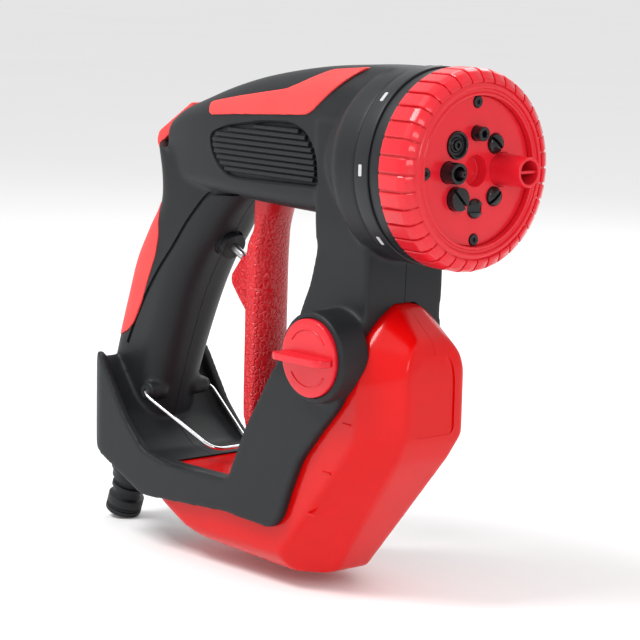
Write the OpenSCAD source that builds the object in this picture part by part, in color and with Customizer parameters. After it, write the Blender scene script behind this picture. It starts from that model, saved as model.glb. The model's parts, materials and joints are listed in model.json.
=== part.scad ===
// Garden and car-wash spray gun: a clam-shell body with a D-shaped grip, an eight-pattern
// spray dial, a squeeze trigger with a wire lock, a push-rod valve and a soap bottle that
// hangs between the two front straps. +X is the spray direction, +Z is up, +Y is the gun's
// left. The origin is the centre of the hose plug's open end. Every length below is drawn for
// a gun 262 mm long, and drawing_scale brings the pieces to their real size.

/* [Size] */
// Real size over drawn size
drawing_scale = 0.87; // [0.8:0.01:1.1]

/* [Spray axis and dial] */
// Height of the spray axis above the hose plug's open end
axis_z = 188; // [186:1:190]
// X of the dial's recessed face
face_x = 238; // [237:0.5:239]
// Outer radius of the ribbed dial ring
dial_r = 42.3; // [41:0.1:43]
// Number of grip ribs round the dial ring
rib_count = 36; // [24:4:48]
// Radius of the circle on which the eight outlets sit
outlet_circle_r = 15.5; // [15.3:0.1:15.8]
// Radius of the circle on which the four face screws sit
screw_circle_r = 28.4; // [28:0.1:28.6]
// Radius of the blind hole in the middle of the dial
centre_hole_r = 6.4; // [5:0.1:6.6]
// Length of the foam tube in front of the dial face
foam_tube_l = 15.5; // [12:0.5:18]

/* [Body] */
// Half width of the lower frame and straps
frame_half_w = 32.5; // [32:0.25:34]
neck_half_w = 23; // [22.5:0.25:24.5]
// Radius of the head behind the dial
head_r = 41; // [40:0.1:41.5]
// Wall thickness of the two body shells
wall = 2.6; // [2:0.1:3]

/* [Grip, hose plug and valve] */
// Forward lean of the grip and of the hose plug
grip_tilt = 20; // [19:0.5:21]
// Radius of the hose plug's barrel
plug_r = 8.8; // [8.5:0.1:9]
// Downward slope of the valve stem
valve_tilt = 25; // [24:0.5:26]
// Radius of the valve stem
stem_r = 2; // [1.8:0.1:2.2]

/* [Trigger and wire lock] */
// Height of the trigger's pivot
trigger_pivot_z = 170; // [169:0.5:171]
// Width of the trigger lever
trigger_w = 20; // [18:0.5:22]
// Radius of the lock wire
wire_r = 1.1; // [1:0.05:1.2]
// Half of the distance between the two arms of the wire lock
wire_half_w = 20.6; // [20.4:0.1:21]

/* [Bottle and soap cap] */
// Half width of the bottle
bottle_half_w = 28.4; // [27:0.1:28.6]
// Wall thickness of the bottle
bottle_wall = 1.8; // [1.4:0.1:2.2]
// Radius of the soap cap's disc
cap_r = 16.8; // [16:0.1:17]

/* [Hidden] */

$fn = 48;
slip = 0.07;          // radial clearance of a turning or sliding fit
gap = 0.35;           // gap between parts that move past each other
half_space = 400;
black = "#24262a";
red = "#c8141c";
soft_red = "#e04a48";

// Dial stack, from the fixed head to the ribbed ring
head_front_x = 209;
pattern_x = head_front_x + gap;
flange_x = 211;
rotor_x = 213.2;
trim_x = 217.4;
ring_x = 223.5;
ring_front_x = 241;
spindle_r = 4;
port_r = 3.9;
detent_r = 33;

// Valve: w runs along the stem, from the gland's outer face towards the trigger
valve_at = [82.9, 0, 139.4];
valve_back_w = -36;
nose_w = -11.5;
stem_out = 8.4;

// Trigger, wire lock and soap cap
trigger_pivot_x = 116;
pin_r = 2;
wire_pivot = [41, 67.5];
wire_rest = -27;
wire_reach = 48;
wire_pivot_r = 1;
bush_r = 3;
bush_in = 11.5;
cap_x = 183;
cap_z = 106;
neck_r = 11;
neck_bore_r = 9.2;
neck_front_y = -37.5;
soap_tube_x = 177;
soap_tube_foot = 25;
soap_tube_top = axis_z - outlet_circle_r;

// Shell screws, as X and Z
screw_at = [[66, 194], [150, 178], [178, 214], [28, 112], [190, 140], [12, 68]];
boss_r = 3.5;
screw_r = 1.4;
screw_head_r = 2.9;

function arc_points(cx, cy, r, a0, a1, n = 5) =
    [for (i = [0:n]) [cx + r * cos(a0 + (a1 - a0) * i / n), cy + r * sin(a0 + (a1 - a0) * i / n)]];

// A rectangle with round corners, centred, as points; low_r is the radius of the two lower corners
function round_box(w, h, r, low_r) = concat(
    arc_points(w / 2 - r, h / 2 - r, r, 0, 90),
    arc_points(r - w / 2, h / 2 - r, r, 90, 180),
    arc_points(low_r - w / 2, low_r - h / 2, low_r, 180, 270),
    arc_points(w / 2 - low_r, low_r - h / 2, low_r, 270, 360));

// Side outlines, as X and Z
frame_side = [[14, 80], [20, 86], [24, 84], [33, 71], [42, 58], [57, 44], [76, 40], [119.5, 41],
              [131, 66], [151, 98], [159, 122], [165, 133], [167, 150], [167, 190], [200, 190],
              [200.5, 128], [199, 112], [197, 95], [192, 85], [180, 72], [168, 58], [161, 43],
              [156, 30], [150, 24.5], [117, 26], [57, 22], [18, 39]];
tub_side = [[0, 96], [20, 96], [60, 96], [122, 60], [120, 37], [74, 36], [55, 39], [38, 54],
            [29, 67], [19, 80], [14, 84]];
bottle_side = [[60, 24], [66, 36], [118, 36], [131, 58], [149, 88], [163, 114], [172, 125],
               [198, 126], [216, 112], [218.4, 104], [218.4, 73], [212, 62], [172, 10], [165, 6.5],
               [96, 9.5], [86, 12]];
grille_side = [[88, 193], [100, 196.5], [127, 200], [146, 200.5], [155, 197], [161, 189],
               [162.5, 176.5], [104, 175.5], [96, 178], [89, 186]];
inlay_side = [[82, 206.5], [110, 211.5], [142, 216.5], [149, 219], [166, 226], [187, 228],
              [158, 207.5], [154, 206], [107, 203], [84, 201]];
grip_side = [[60, 205.4], [37.4, 189], [36.3, 185], [43, 174], [43.6, 165], [40.6, 157],
             [32.6, 145], [24.2, 130], [11.2, 100], [10.4, 94], [13.2, 94], [27, 129],
             [35.2, 144], [43.2, 156], [46.4, 165], [46, 174], [40.2, 185], [60.5, 201.6]];
trigger_side = [[118, 176], [111, 175], [107, 163], [109, 152], [104.5, 144], [103, 136],
                [103, 70], [104, 60], [107, 57.5], [110, 60], [111.5, 72], [112, 136],
                [113.5, 152], [118, 163], [121, 167], [121, 174]];
rib_side = [[104, 139.5], [91.8, 136.2], [84.4, 127], [84.6, 123.5], [91.5, 115.5], [104, 103]];

module side_plate(points, half_w) {
    rotate([90, 0, 0]) linear_extrude(height = 2 * half_w, center = true) polygon(points);
}

module side_slab(points, y0, y1) {
    translate([0, y1, 0]) rotate([90, 0, 0]) linear_extrude(height = y1 - y0) polygon(points);
}

// A round bar or ring along X, round the spray axis
module axial(r, x0, x1, r1 = -1) {
    translate([x0, 0, axis_z]) rotate([0, 90, 0]) cylinder(r1 = r, r2 = r1 < 0 ? r : r1, h = x1 - x0);
}

module axial_ring(r_out, r_in, x0, x1) {
    difference() {
        axial(r_out, x0, x1);
        axial(r_in, x0 - 1, x1 + 1);
    }
}

// A round bar along Y at X, Z
module cross_bar(x, z, r, y0, y1) {
    translate([x, y1, z]) rotate([90, 0, 0]) cylinder(r = r, h = y1 - y0);
}

// Children are placed at one of the dial's clock positions, pointing forward
module at_clock(radius, angle, x) {
    translate([x, radius * sin(angle), axis_z + radius * cos(angle)]) rotate([0, 90, 0]) children();
}

// Frames of the grip axis and of the valve axis
module on_grip() {
    rotate([0, grip_tilt, 0]) children();
}

module on_valve() {
    translate(valve_at) rotate([0, 90 + valve_tilt, 0]) children();
}

module rod(r, w0, w1) {
    translate([0, 0, w0]) cylinder(r = r, h = w1 - w0);
}

module ring(r_out, r_in, w0, w1) {
    difference() {
        rod(r_out, w0, w1);
        rod(r_in, w0 - 1, w1 + 1);
    }
}

// ---- Body forms ----

module barrel_slice(x, top, bottom, half_w, r) {
    translate([x, 0, (top + bottom) / 2])
        rotate([90, 0, 90])
            linear_extrude(height = 0.4, center = true) polygon(round_box(2 * half_w, top - bottom, r, r * 0.6));
}

module barrel(grow = 0) {
    hull() {
        barrel_slice(50, 197 + grow, 168, 13 + grow, 8);
        barrel_slice(96, 215 + grow, 165.5, 20 + grow, 12);
    }
    hull() {
        barrel_slice(96, 215 + grow, 165.5, 20 + grow, 12);
        barrel_slice(150, 225.5 + grow, 163.5, 22 + grow, 14);
    }
    hull() {
        barrel_slice(150, 225.5 + grow, 163.5, 22 + grow, 14);
        barrel_slice(196, 229 + grow, 163, 30 + grow, 20);
    }
}

module grip_slice(s, rear, front, half_w) {
    translate([(rear + front) / 2, 0, s])
        linear_extrude(height = 0.4, center = true) polygon(round_box(front - rear, 2 * half_w, 11, 11));
}

module grip() {
    on_grip() {
        hull() {
            grip_slice(38, -20, 20, 16);
            grip_slice(90, -21.5, 18, 16.5);
        }
        hull() {
            grip_slice(90, -21.5, 18, 16.5);
            grip_slice(132, -20.5, 19, 18);
        }
        hull() {
            grip_slice(132, -20.5, 19, 18);
            grip_slice(164, -14.5, 30, 17);
        }
        hull() {
            grip_slice(164, -14.5, 30, 17);
            grip_slice(187, -27.5, 40, 14.5);
        }
    }
}

// Straps, neck and the tub round the foot of the grip
module frame() {
    intersection() {
        side_plate(frame_side, frame_half_w);
        rotate([90, 0, 90]) linear_extrude(height = half_space)
            polygon([[-frame_half_w, 20], [frame_half_w, 20], [frame_half_w, 101], [27, 113], [neck_half_w, 124],
                     [neck_half_w, 192], [-neck_half_w, 192], [-neck_half_w, 124], [-27, 113],
                     [-frame_half_w, 101]]);
        linear_extrude(height = half_space)
            polygon([[6, -22], [22, -frame_half_w], [210, -frame_half_w], [210, frame_half_w],
                     [22, frame_half_w], [6, 22]]);
    }
}

module bottle_form(grow = 0) {
    intersection() {
        side_plate(bottle_side, bottle_half_w + grow);
        rotate([90, 0, 90]) linear_extrude(height = half_space)
            polygon([for (p = [[-20, 6], [20, 6], [28.4, 14], [28.4, 98], [24, 111], [14, 121], [5, 126.4],
                               [-5, 126.4], [-14, 121], [-24, 111], [-28.4, 98], [-28.4, 14]])
                     [p[0] + sign(p[0]) * grow, p[1] + (p[1] > 100 ? grow : 0) - (p[1] < 20 ? grow : 0)]]);
        translate([(60 + 218.4) / 2, 0, 0]) linear_extrude(height = half_space)
            polygon(round_box(218.4 - 60 + 2 * grow, 2 * (bottle_half_w + grow), 12, 12));
    }
}

// The bottle's form grown by its fitting gap on the side outline too
module bottle_room() {
    for (shift = [[-gap, -gap], [gap, -gap], [-gap, gap], [gap, gap]])
        translate([shift[0], 0, shift[1]]) bottle_form(gap);
}

module inside() {
    side_plate([[50, 190], [60, 198], [94, 209], [94, 169], [86, 168.5], [54, 180]], 10.5);
    intersection() {
        side_plate([[92, 208], [150, 221], [196, 225], [196, 168], [92, 168.5]], 17);
        rotate([90, 0, 90]) linear_extrude(height = half_space)
            polygon([[-17, 160], [17, 160], [17, 200], [8, 226], [-8, 226], [-17, 200]]);
    }
    axial(17.4, 152, 196, head_r - wall - 1.2, $fn = 64);
    axial(head_r - wall - 1.2, 195.9, head_front_x + 1, $fn = 64);
    on_grip() translate([-15.5, -12, 44]) cube([29, 24, 98]);
    side_plate([[41, 146], [48, 158], [49, 166], [44, 184], [56, 190], [93, 190], [91, 168], [78, 148],
                [60, 130], [30, 130]], 10.5);
    translate([169.6, -20.2, 131]) cube([28, 40.4, 60]);
    side_plate([[168, 131], [170, 129.4], [196, 129.4], [196, 133], [168, 133]], 20);
}

// Both shells as one form, before it is split along the middle plane
module body() {
    $fn = 20;
    difference() {
        union() {
            difference() {
                union() {
                    frame();
                    cross_bar(cap_x, cap_z, 19.6, -39.4, -neck_half_w, $fn = 48);
                }
                side_plate(tub_side, frame_half_w - 4.2);
                bottle_room();
            }
            difference() {
                union() {
                    barrel();
                    grip();
                    axial(20, 152, 196, head_r, $fn = 64);
                    axial(head_r, 196, head_front_x, $fn = 64);
                    on_grip() {
                        rod(14, 27.5, 34);
                        rod(19, 32, 44);
                    }
                }
                bottle_room();
            }
            cross_bar(wire_pivot[0], wire_pivot[1], 4.4, -wire_half_w + 1.6, wire_half_w - 1.6);
        }
        difference() {
            inside();
            for (s = screw_at)
                cross_bar(s[0], s[1], boss_r, -26, 26);
        }
        // Window in the tub's floor, over the bottle
        translate([62, -21, 30]) cube([49, 42, 30]);
        // Slot for the trigger, its pivot and the valve
        translate([101, -trigger_w / 2 - 0.4, 150]) cube([26, trigger_w + 0.8, 30]);
        cross_bar(trigger_pivot_x, trigger_pivot_z, pin_r + slip, -19, 19);
        on_valve() {
            rod(8.2, valve_back_w - 0.3, nose_w + 0.1);
            rod(7.2, nose_w, 20);
        }
        // Way for the hose plug and the supply tube
        on_grip() {
            rod(5.2, 20, 160);
            rod(8.2, 20, 40);
        }
        // Way for the soap tube
        translate([soap_tube_x, 0, 120]) cylinder(r = 4.2, h = 20);
        // Bushes of the wire lock
        cross_bar(wire_pivot[0], wire_pivot[1], bush_r + 0.1, -30, -bush_in);
        cross_bar(wire_pivot[0], wire_pivot[1], bush_r + 0.1, bush_in, 30);
        // Soap cap's recess and neck hole
        cross_bar(cap_x, cap_z, cap_r + 0.5, -40, -37.8, $fn = 48);
        cross_bar(cap_x, cap_z, neck_r + 0.3, -40, -20);
        // Seats of the red spine and the grilles
        side_plate(grip_side, 8);
        side_slab(grille_side, 18.6, 40);
        side_slab(grille_side, -40, -18.6);
        for (s = screw_at) {
            cross_bar(s[0], s[1], screw_r + slip, -11, 12);
            cross_bar(s[0], s[1], screw_head_r + 0.1, 9.9, 60);
        }
    }
}

module left_shell() {
    scale(drawing_scale) color(black) intersection() {
        body();
        translate([-half_space / 2, 0, -half_space / 2]) cube(half_space * 2);
    }
}

module right_shell() {
    scale(drawing_scale) color(black) intersection() {
        body();
        translate([-half_space / 2, -half_space * 2, -half_space / 2]) cube(half_space * 2);
    }
}

module shoulder_inlay(y0, y1) {
    scale(drawing_scale) color(soft_red) intersection() {
        difference() {
            barrel(0.9);
            barrel(0);
        }
        side_slab(inlay_side, y0, y1);
    }
}

module left_shoulder_inlay() {
    shoulder_inlay(6, 40);
}

module right_shoulder_inlay() {
    shoulder_inlay(-40, -6);
}

module grille(y0, y1, groove_y) {
    scale(drawing_scale) color(black) difference() {
        side_slab(grille_side, y0, y1);
        for (i = [0:8])
            translate([80, groove_y, 177.4 + 2.55 * i]) cube([90, 1.2, 0.9]);
    }
}

module left_grille() {
    grille(18.7, 22.4, 21.6);
}

module right_grille() {
    grille(-22.4, -18.7, -22.8);
}

module rear_grip() {
    scale(drawing_scale) color(soft_red) side_plate(grip_side, 7.9);
}

module shell_screws() {
    scale(drawing_scale) color("silver") for (s = screw_at) {
        cross_bar(s[0], s[1], screw_r, -9, 10);
        difference() {
            cross_bar(s[0], s[1], screw_head_r, 10, 12);
            translate([s[0] - 0.4, 11.2, s[1] - 2]) cube([0.8, 2, 4]);
            translate([s[0] - 2, 11.2, s[1] - 0.4]) cube([4, 2, 0.8]);
        }
    }
}

// ---- Water inlet ----

module inlet_nut() {
    scale(drawing_scale) color(black) on_grip() difference() {
        union() {
            rod(8, 18.5, 36);
            rod(9.6, 18.5, 23);
            rod(10.8, 23, 27.4);
        }
        rod(5.05, 17, 37);
        for (i = [0:11])
            rotate([0, 0, 30 * i]) translate([10.2, -0.8, 23.5]) cube([2, 1.6, 3.2]);
    }
}

module hose_plug() {
    scale(drawing_scale) color(black) on_grip() difference() {
        union() {
            rod(plug_r, 0, 9);
            rod(6.9, 9, 18.4);
            rod(8.4, 13, 15.2);
            rod(5, 18.4, 25);
        }
        rod(4.2, -1, 26);
        ring(plug_r + 1, 7.5, 2.6, 4.4);
    }
}

module plug_seal() {
    scale(drawing_scale) color("#111214") on_grip() translate([0, 0, 3.5])
        rotate_extrude() translate([7.9, 0]) circle(r = 0.85, $fn = 24);
}

module inlet_filter() {
    scale(drawing_scale) color("silver") on_grip() ring(4.1, 0.6, 20, 20.8);
}

module supply_tube() {
    scale(drawing_scale) color("#3a3d42") on_grip() ring(5, 3.8, 25.2, 153.6);
}

// ---- Valve ----

module valve_body() {
    scale(drawing_scale) color("#303338") difference() {
        on_valve() union() {
            rod(8, valve_back_w, nose_w);
            rod(6.6, nose_w, -7.2);
        }
        on_valve() {
            rod(5.6, -33.4, -17);
            rod(3.3, -18, -14);
            rod(4.4, -15, -6);
        }
        on_grip() rod(3.8, 150, 162);
        on_valve() translate([0, 0, -12.9]) rotate([0, -90, 0]) rod(2.6, 0, 10);
    }
}

module gland_nut() {
    scale(drawing_scale) color(black) on_valve() difference() {
        union() {
            rod(4.35, -9, -6.9);
            rod(6.9, -7, -4.6);
            rod(5.6, -4.6, -3);
            rod(6.4, -3, 0);
        }
        rod(stem_r + slip, -10, 1);
        ring(3.3, 1, -9.1, -7.4);
    }
}

module gland_seal() {
    scale(drawing_scale) color("#111214") on_valve() ring(3.2, stem_r + slip, -9, -7.5);
}

module valve_stem() {
    scale(drawing_scale) color("silver") on_valve() {
        rod(stem_r, -21.4, stem_out - 0.8);
        translate([0, 0, stem_out - 0.8]) cylinder(r1 = stem_r, r2 = stem_r - 0.7, h = 0.8);
    }
}

module valve_poppet() {
    scale(drawing_scale) color("#111214") on_valve() {
        ring(4.7, stem_r, -20.6, -18.1);
        ring(2.9, stem_r, -23, -20.6);
    }
}

// A plain sleeve in the space of the coil spring behind the poppet
module valve_spring() {
    scale(drawing_scale) color("silver") on_valve() translate([0, 0, -32.8])
        linear_extrude(height = 11.4) difference() {
            circle(r = 4.4);
            circle(r = 3.5);
        }
}

module delivery_tube() {
    scale(drawing_scale) color("#3a3d42") difference() {
        union() {
            on_valve() translate([0, 0, -12.9]) rotate([0, -90, 0]) rod(4.3, 8.1, 63);
            at_clock(outlet_circle_r, 0, 92) cylinder(r = 4.8, h = 105);
        }
        on_valve() translate([0, 0, -12.9]) rotate([0, -90, 0]) rod(3, 8, 64);
        at_clock(outlet_circle_r, 0, 95) cylinder(r = 3.3, h = 110);
    }
}

// ---- Fixed head plate ----

module head_plate() {
    scale(drawing_scale) color("#3a3d42") difference() {
        union() {
            axial(head_r - wall - 1.3, 197.1, head_front_x);
            axial(36.4, head_front_x, flange_x);
            axial(38.3, flange_x, 212.6);
            axial(spindle_r, 212.6, 226);
        }
        at_clock(outlet_circle_r, 0, 190) cylinder(r = port_r, h = 30);
        at_clock(outlet_circle_r, 0, 210) cylinder(r = 4.8, h = 3);
        at_clock(outlet_circle_r, 180, 190) cylinder(r = 1.5, h = 30);
        at_clock(detent_r, 135, 204) cylinder(r = 2.1, h = 12);
    }
}

module port_seal() {
    scale(drawing_scale) color("#111214") at_clock(outlet_circle_r, 0, 210) difference() {
        cylinder(r = 4.7, h = 2.9);
        translate([0, 0, -1]) cylinder(r = port_r, h = 5);
    }
}

module detent_plunger() {
    scale(drawing_scale) color("silver") at_clock(detent_r, 135, 209.4) {
        cylinder(r = 2, h = 2.2);
        translate([0, 0, 2.2]) cylinder(r1 = 2, r2 = 1, h = 1.1);
    }
}

// A plain sleeve in the space of the coil spring under the plunger
module detent_spring() {
    scale(drawing_scale) color("silver") at_clock(detent_r, 135, 204.1) difference() {
        cylinder(r = 1.9, h = 5.2);
        translate([0, 0, -1]) cylinder(r = 1.2, h = 8);
    }
}

// ---- Spray dial ----

// Outlets, clockwise from the top as seen from the front: radius of the plate's hole
outlet_hole_r = [3.2, 4.3, 7.2, 4.1, 4.1, 5, 4.6, 5.8];
outlet_step = 45;

module dial_ring() {
    scale(drawing_scale) color(red) difference() {
        union() {
            axial(dial_r, ring_x, 237, dial_r - 0.6);
            axial(dial_r - 0.6, 237, ring_front_x, dial_r - 5);
        }
        axial(33.5, ring_x - 1, 237.8);
        axial(30.9, 237, 243);
        axial_ring(34.4, 32.6, 239.9, 242);
        for (i = [0:rib_count - 1])
            translate([ring_x + 1.5, 0, axis_z]) rotate([360 / rib_count * (i + 0.5), 0, 0])
                translate([0, -0.55, dial_r - 1.5]) cube([30, 1.1, 5]);
    }
}

module dial_face() {
    scale(drawing_scale) color(red) difference() {
        axial(33.4, 232, 237.7);
        axial_ring(40, 30.8, 237.4, 240);
        axial(centre_hole_r, 231, 240);
        for (i = [0:7])
            at_clock(outlet_circle_r, outlet_step * i, 231) cylinder(r = outlet_hole_r[i] + 0.05, h = 10);
        for (a = [0:90:270]) {
            at_clock(screw_circle_r, a, 231) cylinder(r = 1.45, h = 10);
            at_clock(screw_circle_r, a, 236) cylinder(r = 2.5, h = 10);
        }
    }
}

module dial_rotor() {
    scale(drawing_scale) color(red) difference() {
        union() {
            axial(38.4, rotor_x, trim_x - 0.1);
            axial(33.4, trim_x - 0.1, 231.9);
        }
        axial(spindle_r + slip, rotor_x - 1, 226.6);
        for (i = [0:7]) {
            at_clock(outlet_circle_r, outlet_step * i, rotor_x - 1) cylinder(r = 4.4, h = 30);
            at_clock(detent_r, outlet_step * (i + 3), rotor_x - 1) cylinder(r = 2.4, h = 1.6);
        }
        for (a = [0:90:270])
            at_clock(screw_circle_r, a, 222) cylinder(r = 1.45, h = 12);
    }
}

module trim_ring() {
    scale(drawing_scale) color(black) axial_ring(40.9, 33.5, trim_x, ring_x - 0.1);
}

module pattern_ring() {
    scale(drawing_scale) color(black) {
        axial_ring(41.8, 38.7, 210.7, trim_x - 0.1);
        axial_ring(41.8, 36.8, pattern_x, 210.7);
    }
}

module face_screws() {
    scale(drawing_scale) color("#17181a") for (a = [0:90:270]) {
        at_clock(screw_circle_r, a, 224) cylinder(r = 1.4, h = 12.1);
        at_clock(screw_circle_r, a, 236.1) difference() {
            cylinder(r = 2.4, h = 2.3);
            translate([0, 0, 1.2]) cylinder(r = 1.2, h = 3, $fn = 6);
        }
    }
}

// A nozzle insert: a tail in the rotor, a body through the face plate and a bore
module insert(index, out, bore_r) {
    at_clock(outlet_circle_r, outlet_step * index, 0) difference() {
        union() {
            translate([0, 0, 226]) cylinder(r = min(4.3, outlet_hole_r[index]), h = 6);
            translate([0, 0, 232]) cylinder(r = outlet_hole_r[index], h = face_x - 232 + out);
        }
        translate([0, 0, 225]) cylinder(r = bore_r, h = 40);
    }
}

module slotted_insert(index, out, bore_r, slot_angle) {
    difference() {
        insert(index, out, bore_r);
        at_clock(outlet_circle_r, outlet_step * index, face_x + out - 1.6)
            rotate([0, 0, slot_angle]) translate([-8, -0.6, 0]) cube([16, 1.2, 4]);
    }
}

module jet_outlet() {
    scale(drawing_scale) color("#17181a") insert(0, 4.5, 1.5);
}

module shower_outlet() {
    scale(drawing_scale) color("#17181a") slotted_insert(1, 1.8, 0.9, 50);
}

module foam_tube() {
    scale(drawing_scale) color(red) difference() {
        at_clock(outlet_circle_r, 2 * outlet_step, 0) {
            translate([0, 0, 226]) cylinder(r = 4.3, h = 6);
            translate([0, 0, 232]) cylinder(r = outlet_hole_r[2], h = 6);
            translate([0, 0, face_x]) cylinder(r1 = outlet_hole_r[2], r2 = 6.2, h = foam_tube_l);
        }
        at_clock(outlet_circle_r, 2 * outlet_step, 225) cylinder(r = 2.6, h = 12);
        at_clock(outlet_circle_r, 2 * outlet_step, face_x - 2) cylinder(r = 4.8, h = foam_tube_l + 4);
    }
    scale(drawing_scale) color(red) at_clock(outlet_circle_r, 2 * outlet_step, face_x + 3)
        translate([-0.6, -5, 0]) cube([1.2, 10, foam_tube_l - 5]);
}

module angle_outlet() {
    scale(drawing_scale) color("#17181a") slotted_insert(3, 1.8, 0.9, -50);
}

module soaker_outlet() {
    scale(drawing_scale) color("#17181a") slotted_insert(4, 2.2, 1.2, 90);
}

module flat_outlet() {
    scale(drawing_scale) color("#17181a") slotted_insert(5, 3.2, 1, 45);
}

module cone_outlet() {
    scale(drawing_scale) color("#17181a") insert(6, 6.4, 3);
    scale(drawing_scale) color("#17181a") difference() {
        at_clock(outlet_circle_r, 6 * outlet_step, 230) cylinder(r = 1.5, h = face_x + 9 - 230);
        at_clock(outlet_circle_r, 6 * outlet_step, 229) cylinder(r = 0.4, h = 20);
    }
    scale(drawing_scale) color("#17181a") at_clock(outlet_circle_r, 6 * outlet_step, 230)
        for (a = [0:120:240]) rotate([0, 0, a]) translate([1.3, -0.5, 0]) cube([1.9, 1, 4]);
}

module mist_outlet() {
    scale(drawing_scale) color("#17181a") difference() {
        insert(7, 0.8, 0.9);
        at_clock(outlet_circle_r, 7 * outlet_step, face_x - 1.4) difference() {
            cylinder(r = 4.9, h = 4);
            translate([0, 0, -1]) cylinder(r = 2.3, h = 6);
        }
    }
}

// ---- Trigger and wire lock ----

module trigger() {
    scale(drawing_scale) color(red) difference() {
        union() {
            side_plate(trigger_side, trigger_w / 2);
            side_plate(rib_side, 2.6);
        }
        // The lever is a channel, open towards the grip, with the rib down its middle
        difference() {
            side_plate([[100, 148], [101, 68], [108, 68], [108.6, 134], [106, 148]], trigger_w / 2 - 2.2);
            side_plate([[120, 150], [80, 150], [80, 90], [120, 90]], 2.6);
        }
        cross_bar(trigger_pivot_x, trigger_pivot_z, pin_r + slip, -20, 20);
    }
}

module trigger_pin() {
    scale(drawing_scale) color("silver") cross_bar(trigger_pivot_x, trigger_pivot_z, pin_r, -16, 16);
}

// Path of the lock wire in its own plane, as reach and Y, from one arm's end to the other's
wire_bend = 10;
wire_path = concat([[-wire_r, -wire_half_w], [wire_reach / 3, -wire_half_w]],
                   arc_points(wire_reach - wire_bend, -wire_half_w + wire_bend, wire_bend, -90, 0),
                   arc_points(wire_reach - wire_bend, wire_half_w - wire_bend, wire_bend, 0, 90),
                   [[wire_reach / 3, wire_half_w], [-wire_r, wire_half_w]]);
wire_sides = 12;

// A flat path swept with a round section, its end rings square to Y where the arms turn inward
module flat_sweep(path, r, sides) {
    last = len(path) - 1;
    function along(i) = path[min(i + 1, last)] - path[max(i - 1, 0)];
    points = [for (i = [0:last]) let (t = along(i) / norm(along(i)))
              for (k = [0:sides - 1]) let (a = 360 * k / sides)
              [path[i][0] - t[1] * r * cos(a), path[i][1] + t[0] * r * cos(a), r * sin(a)]];
    walls = [for (i = [0:last - 1]) for (k = [0:sides - 1]) let (n = (k + 1) % sides)
             [i * sides + k, (i + 1) * sides + k, (i + 1) * sides + n, i * sides + n]];
    ends = [[for (k = [0:sides - 1]) k], [for (k = [0:sides - 1]) last * sides + sides - 1 - k]];
    polyhedron(points, concat(walls, ends));
}

module wire_lock() {
    scale(drawing_scale) color("silver") translate([wire_pivot[0], 0, wire_pivot[1]]) {
        rotate([0, -wire_rest, 0]) flat_sweep(wire_path, wire_r, wire_sides);
        cross_bar(0, 0, wire_pivot_r, -wire_half_w + 0.3, -12);
        cross_bar(0, 0, wire_pivot_r, 12, wire_half_w - 0.3);
    }
}

module wire_bushes() {
    scale(drawing_scale) color("#3a3d42") for (side = [-1, 1])
        difference() {
            cross_bar(wire_pivot[0], wire_pivot[1], bush_r, side > 0 ? bush_in : 2 - wire_half_w,
                      side > 0 ? wire_half_w - 2 : -bush_in);
            cross_bar(wire_pivot[0], wire_pivot[1], wire_pivot_r + slip, -40, 40);
        }
}

// ---- Soap bottle ----

module bottle_inside() {
    intersection() {
        side_plate([[63, 25], [68, 34], [119, 34], [133, 58], [151, 88], [165, 112.5], [174.4, 123.2],
                    [197, 124], [214.4, 111], [216.6, 103.6], [216.6, 73.6], [210.5, 63.2], [171, 12],
                    [164.6, 8.4], [96.4, 11.4], [87, 13.6]], bottle_half_w - bottle_wall);
        rotate([90, 0, 90]) linear_extrude(height = half_space)
            polygon([[-19, 8], [19, 8], [26.6, 15], [26.6, 97], [22.4, 110], [13, 119.2], [4.6, 124.4],
                     [-4.6, 124.4], [-13, 119.2], [-22.4, 110], [-26.6, 97], [-26.6, 15]]);
        translate([(62 + 216.6) / 2, 0, 0]) linear_extrude(height = half_space)
            polygon(round_box(216.6 - 62, 2 * (bottle_half_w - bottle_wall), 11, 11));
    }
}

module bottle() {
    scale(drawing_scale) color(red) difference() {
        union() {
            bottle_form();
            cross_bar(cap_x, cap_z, neck_r, neck_front_y, -26.5);
        }
        bottle_inside();
        cross_bar(cap_x, cap_z, neck_bore_r, neck_front_y - 1, -24);
        translate([soap_tube_x, 0, 120]) cylinder(r = 4, h = 10);
        translate([219.6, 0, 92]) rotate([0, 90, 0]) cylinder(r = 11, h = 4, center = true);
    }
}

module fill_gasket() {
    scale(drawing_scale) color("#111214") difference() {
        cross_bar(cap_x, cap_z, neck_r, -37.9, neck_front_y - 0.02);
        cross_bar(cap_x, cap_z, neck_bore_r + 0.1, -39, -37);
    }
}

module fill_cap() {
    scale(drawing_scale) color(red) {
        difference() {
            union() {
                cross_bar(cap_x, cap_z, cap_r, -41.4, -37.95);
                cross_bar(cap_x, cap_z, neck_bore_r - slip, -38, -30.5);
            }
            cross_bar(cap_x, cap_z, neck_bore_r - 1.7, -38.4, -30);
        }
        translate([cap_x - cap_r, -49, cap_z - 1.8]) cube([2 * cap_r, 7.7, 3.6]);
    }
}

module soap_grommet() {
    scale(drawing_scale) color("#111214") translate([soap_tube_x, 0, 121.4]) difference() {
        cylinder(r = 3.95, h = 6);
        translate([0, 0, -1]) cylinder(r = 2.02, h = 9);
    }
}

// Dip tube from above the bottle's slanted floor to the head plate
module soap_tube() {
    scale(drawing_scale) color("#d8dadc") difference() {
        union() {
            translate([soap_tube_x, 0, soap_tube_foot])
                cylinder(r = 2, h = soap_tube_top + 2 - soap_tube_foot);
            translate([soap_tube_x, 0, soap_tube_top]) rotate([0, 90, 0]) cylinder(r = 2, h = 20);
        }
        translate([soap_tube_x, 0, soap_tube_foot - 1])
            cylinder(r = 1.2, h = soap_tube_top + 1 - soap_tube_foot);
        translate([soap_tube_x, 0, soap_tube_top]) rotate([0, 90, 0]) cylinder(r = 1.2, h = 22);
    }
}

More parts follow.
